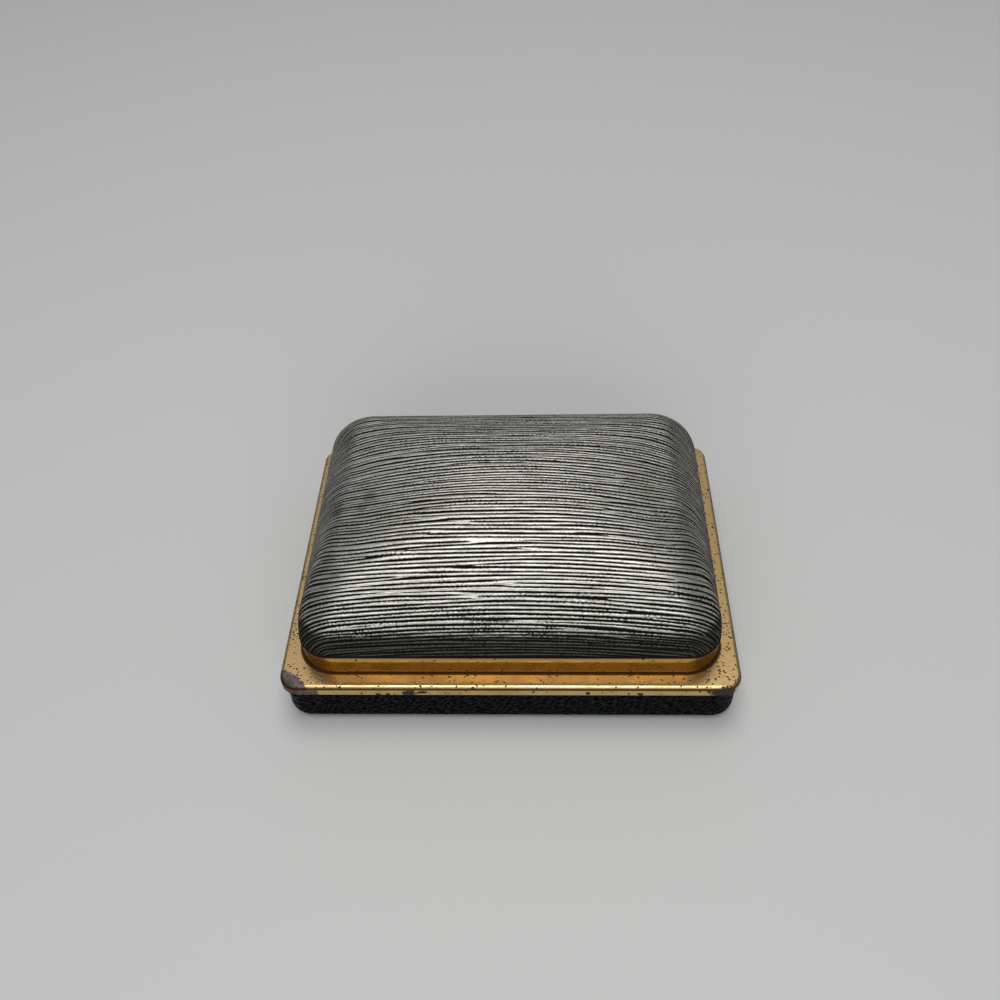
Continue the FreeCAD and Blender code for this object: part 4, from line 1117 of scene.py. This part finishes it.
def worked_metal(name, bright, dull, grain_scale, roughness):
    """Drawn or rolled metal with a brushed grain and a cloudy tarnish."""
    material = new_material(name, Metallic=1.0)
    g = Graph(material)
    brush = g.noise(detail=3.0, place=g.scaled(grain_scale))
    tarnish = g.noise(scale=0.5, detail=4.0)
    colour = g.mix(g.band(tarnish, low=0.42, high=0.7), bright, dull)
    spots = pits(g, 1.6, radius=0.2, density=0.12)
    g.set(Base_Color=g.mix(g.times(spots, SPOT_SHARE), colour, TARNISH_SPOT),
          Roughness=g.blend(g.band(brush), roughness, roughness + BRUSHED),
          Normal=g.bump(brush, distance_mm=0.03, strength=0.5))
    return material


def wadding():
    return fibrous("wadding", dark=(0.6, 0.57, 0.5), light=(0.82, 0.8, 0.74),
                   grain_scale=(0.8, 0.8, 0.8), roughness=0.9, relief=0.3)


def dress(names, material):
    """Give CAD nodes a material."""
    for name in names:
        data = nodes[name].data
        data.materials.clear()
        data.materials.append(material)


def dress_nodes():
    dress(["base_frame"], gilt("gilt_frame", FRAME_TONES, polish=0.22, pit_share=0.5,
                               bare=frame_bare, nicks=frame_nicks, painted_darks=frame_painted_darks))
    dress(["lid_rim"], gilt("gilt_rim", RIM_TONES, polish=0.07, pit_share=0.14, painted_reflection=rim_painted_reflections))
    brass = worked_metal("hinge_brass", bright=(0.72, 0.48, 0.18), dull=(0.4, 0.24, 0.08),
                         grain_scale=(0.4, 3.0, 3.0), roughness=0.26)
    dress([name for name in nodes if name.startswith("hinge_") or name.endswith("_rivets")], brass)
    steel = worked_metal("spring_steel", bright=(0.32, 0.33, 0.37), dull=(0.12, 0.13, 0.19),
                         grain_scale=(3.0, 0.5, 0.5), roughness=0.3)
    dress(["snap_spring_left", "snap_spring_right"], steel)
    wood = fibrous("insert_wood", dark=(0.3, 0.19, 0.1), light=(0.52, 0.37, 0.22),
                   grain_scale=(0.06, 0.9, 0.9), roughness=0.62, relief=0.06)
    dress(["insert_tray"], wood)
    board = fibrous("box_board", dark=(0.3, 0.2, 0.11), light=(0.48, 0.34, 0.2),
                    grain_scale=(0.1, 0.7, 0.7), roughness=0.7, relief=0.05)
    dress(["base_shell"], board)
    pressed = fibrous("pressed_board", dark=(0.26, 0.19, 0.12), light=(0.42, 0.33, 0.23),
                      grain_scale=(1.4, 1.4, 1.4), roughness=0.8, relief=0.08)
    dress(["lid_shell", "lid_lining_board"], pressed)
    paper = fibrous("black_paper_board", dark=(0.012, 0.012, 0.014), light=(0.03, 0.03, 0.032),
                    grain_scale=(2.2, 2.2, 2.2), roughness=0.72, relief=0.07)
    dress(["bottom_panel"], paper)


# Stage: pale floor, soft lights and the photo's camera, in metres

FLOOR_HALF = 2
FLOOR_COLOUR = 0.53, 0.54, 0.535, 1.0
FLOOR_ROUGHNESS = 0.6
WORLD_COLOUR = 0.5, 0.52, 0.55, 1.0
WORLD_STRENGTH = 0.38
# Pitch, yaw and roll in degrees, and the place in millimetres
CAMERA_TURN = 45.98, -3.69, -3.02
CAMERA_PLACE = 8.6, -166.5, 206.1
CAMERA_SENSOR = 36.0
CAMERA_LENS = 36.04
CAMERA_CLIP = 0.005


def build_stage():
    half = FLOOR_HALF
    floor = bpy.data.meshes.new("floor")
    floor.from_pydata([(-half, -half, 0), (half, -half, 0), (half, half, 0), (-half, half, 0)],
                      [], [(0, 1, 2, 3)])
    piece = bpy.data.objects.new("floor", floor)
    bpy.context.scene.collection.objects.link(piece)
    floor.materials.append(new_material("floor", Base_Color=FLOOR_COLOUR, Roughness=FLOOR_ROUGHNESS))


def area_light(name, place, target, width, height, watts, colour=(1, 1, 1)):
    lamp = bpy.data.lights.new(name, "AREA")
    lamp.shape = "RECTANGLE"
    lamp.size = width
    lamp.size_y = height
    lamp.energy = watts
    lamp.color = colour
    holder = bpy.data.objects.new(name, lamp)
    holder.location = place
    holder.rotation_euler = (Vector(target) - Vector(place)).to_track_quat("-Z", "Y").to_euler()
    bpy.context.scene.collection.objects.link(holder)


def build_lights():
    area_light("top_light", place=(0, -0.03, 1.1), target=(0, -0.03, 0),
               width=0.6, height=1.1, watts=8.0, colour=(1.0, 0.985, 0.95))
    area_light("front_light", place=(0, -1.2, 0.46), target=(0, -0.03, 0.03),
               width=1.4, height=0.66, watts=9.4)
    area_light("back_light", place=(0, 1.2, 1.2), target=(0, 0, 0.02),
               width=2.4, height=1.2, watts=2.3)
    world = bpy.data.worlds.new("surroundings")
    world.use_nodes = True
    background = world.node_tree.nodes["Background"]
    background.inputs["Color"].default_value = WORLD_COLOUR
    background.inputs["Strength"].default_value = WORLD_STRENGTH
    bpy.context.scene.world = world


def build_camera():
    """Camera that a fit to the flange, rim and dome outlines gives."""
    pitch, yaw, roll = (math.radians(degrees) for degrees in CAMERA_TURN)
    forward = Vector((math.sin(yaw) * math.cos(pitch), math.cos(yaw) * math.cos(pitch), -math.sin(pitch)))
    level = Vector((math.cos(yaw), -math.sin(yaw), 0))
    upward = level.cross(forward)
    right = math.cos(roll) * level + math.sin(roll) * upward
    up = math.cos(roll) * upward - math.sin(roll) * level
    camera = bpy.data.cameras.new("camera")
    camera.sensor_width = CAMERA_SENSOR
    camera.lens = CAMERA_LENS
    camera.clip_start = CAMERA_CLIP
    holder = bpy.data.objects.new("camera", camera)
    turn = Matrix((right, up, -forward)).transposed()
    holder.matrix_world = Matrix.Translation(Vector(CAMERA_PLACE) * MM) @ turn.to_4x4()
    bpy.context.scene.collection.objects.link(holder)
    bpy.context.scene.camera = holder


build_camera()
dome_cover(ribbed_cloth())
dome_wadding(wadding())
leather_wrap(leathercloth())
blue_velvet = velvet()
velvet_insert(blue_velvet)
wall_strip(blue_velvet)
satin_pad(satin())
dress_nodes()
build_stage()
build_lights()
bpy.context.scene.view_settings.view_transform = "Standard"
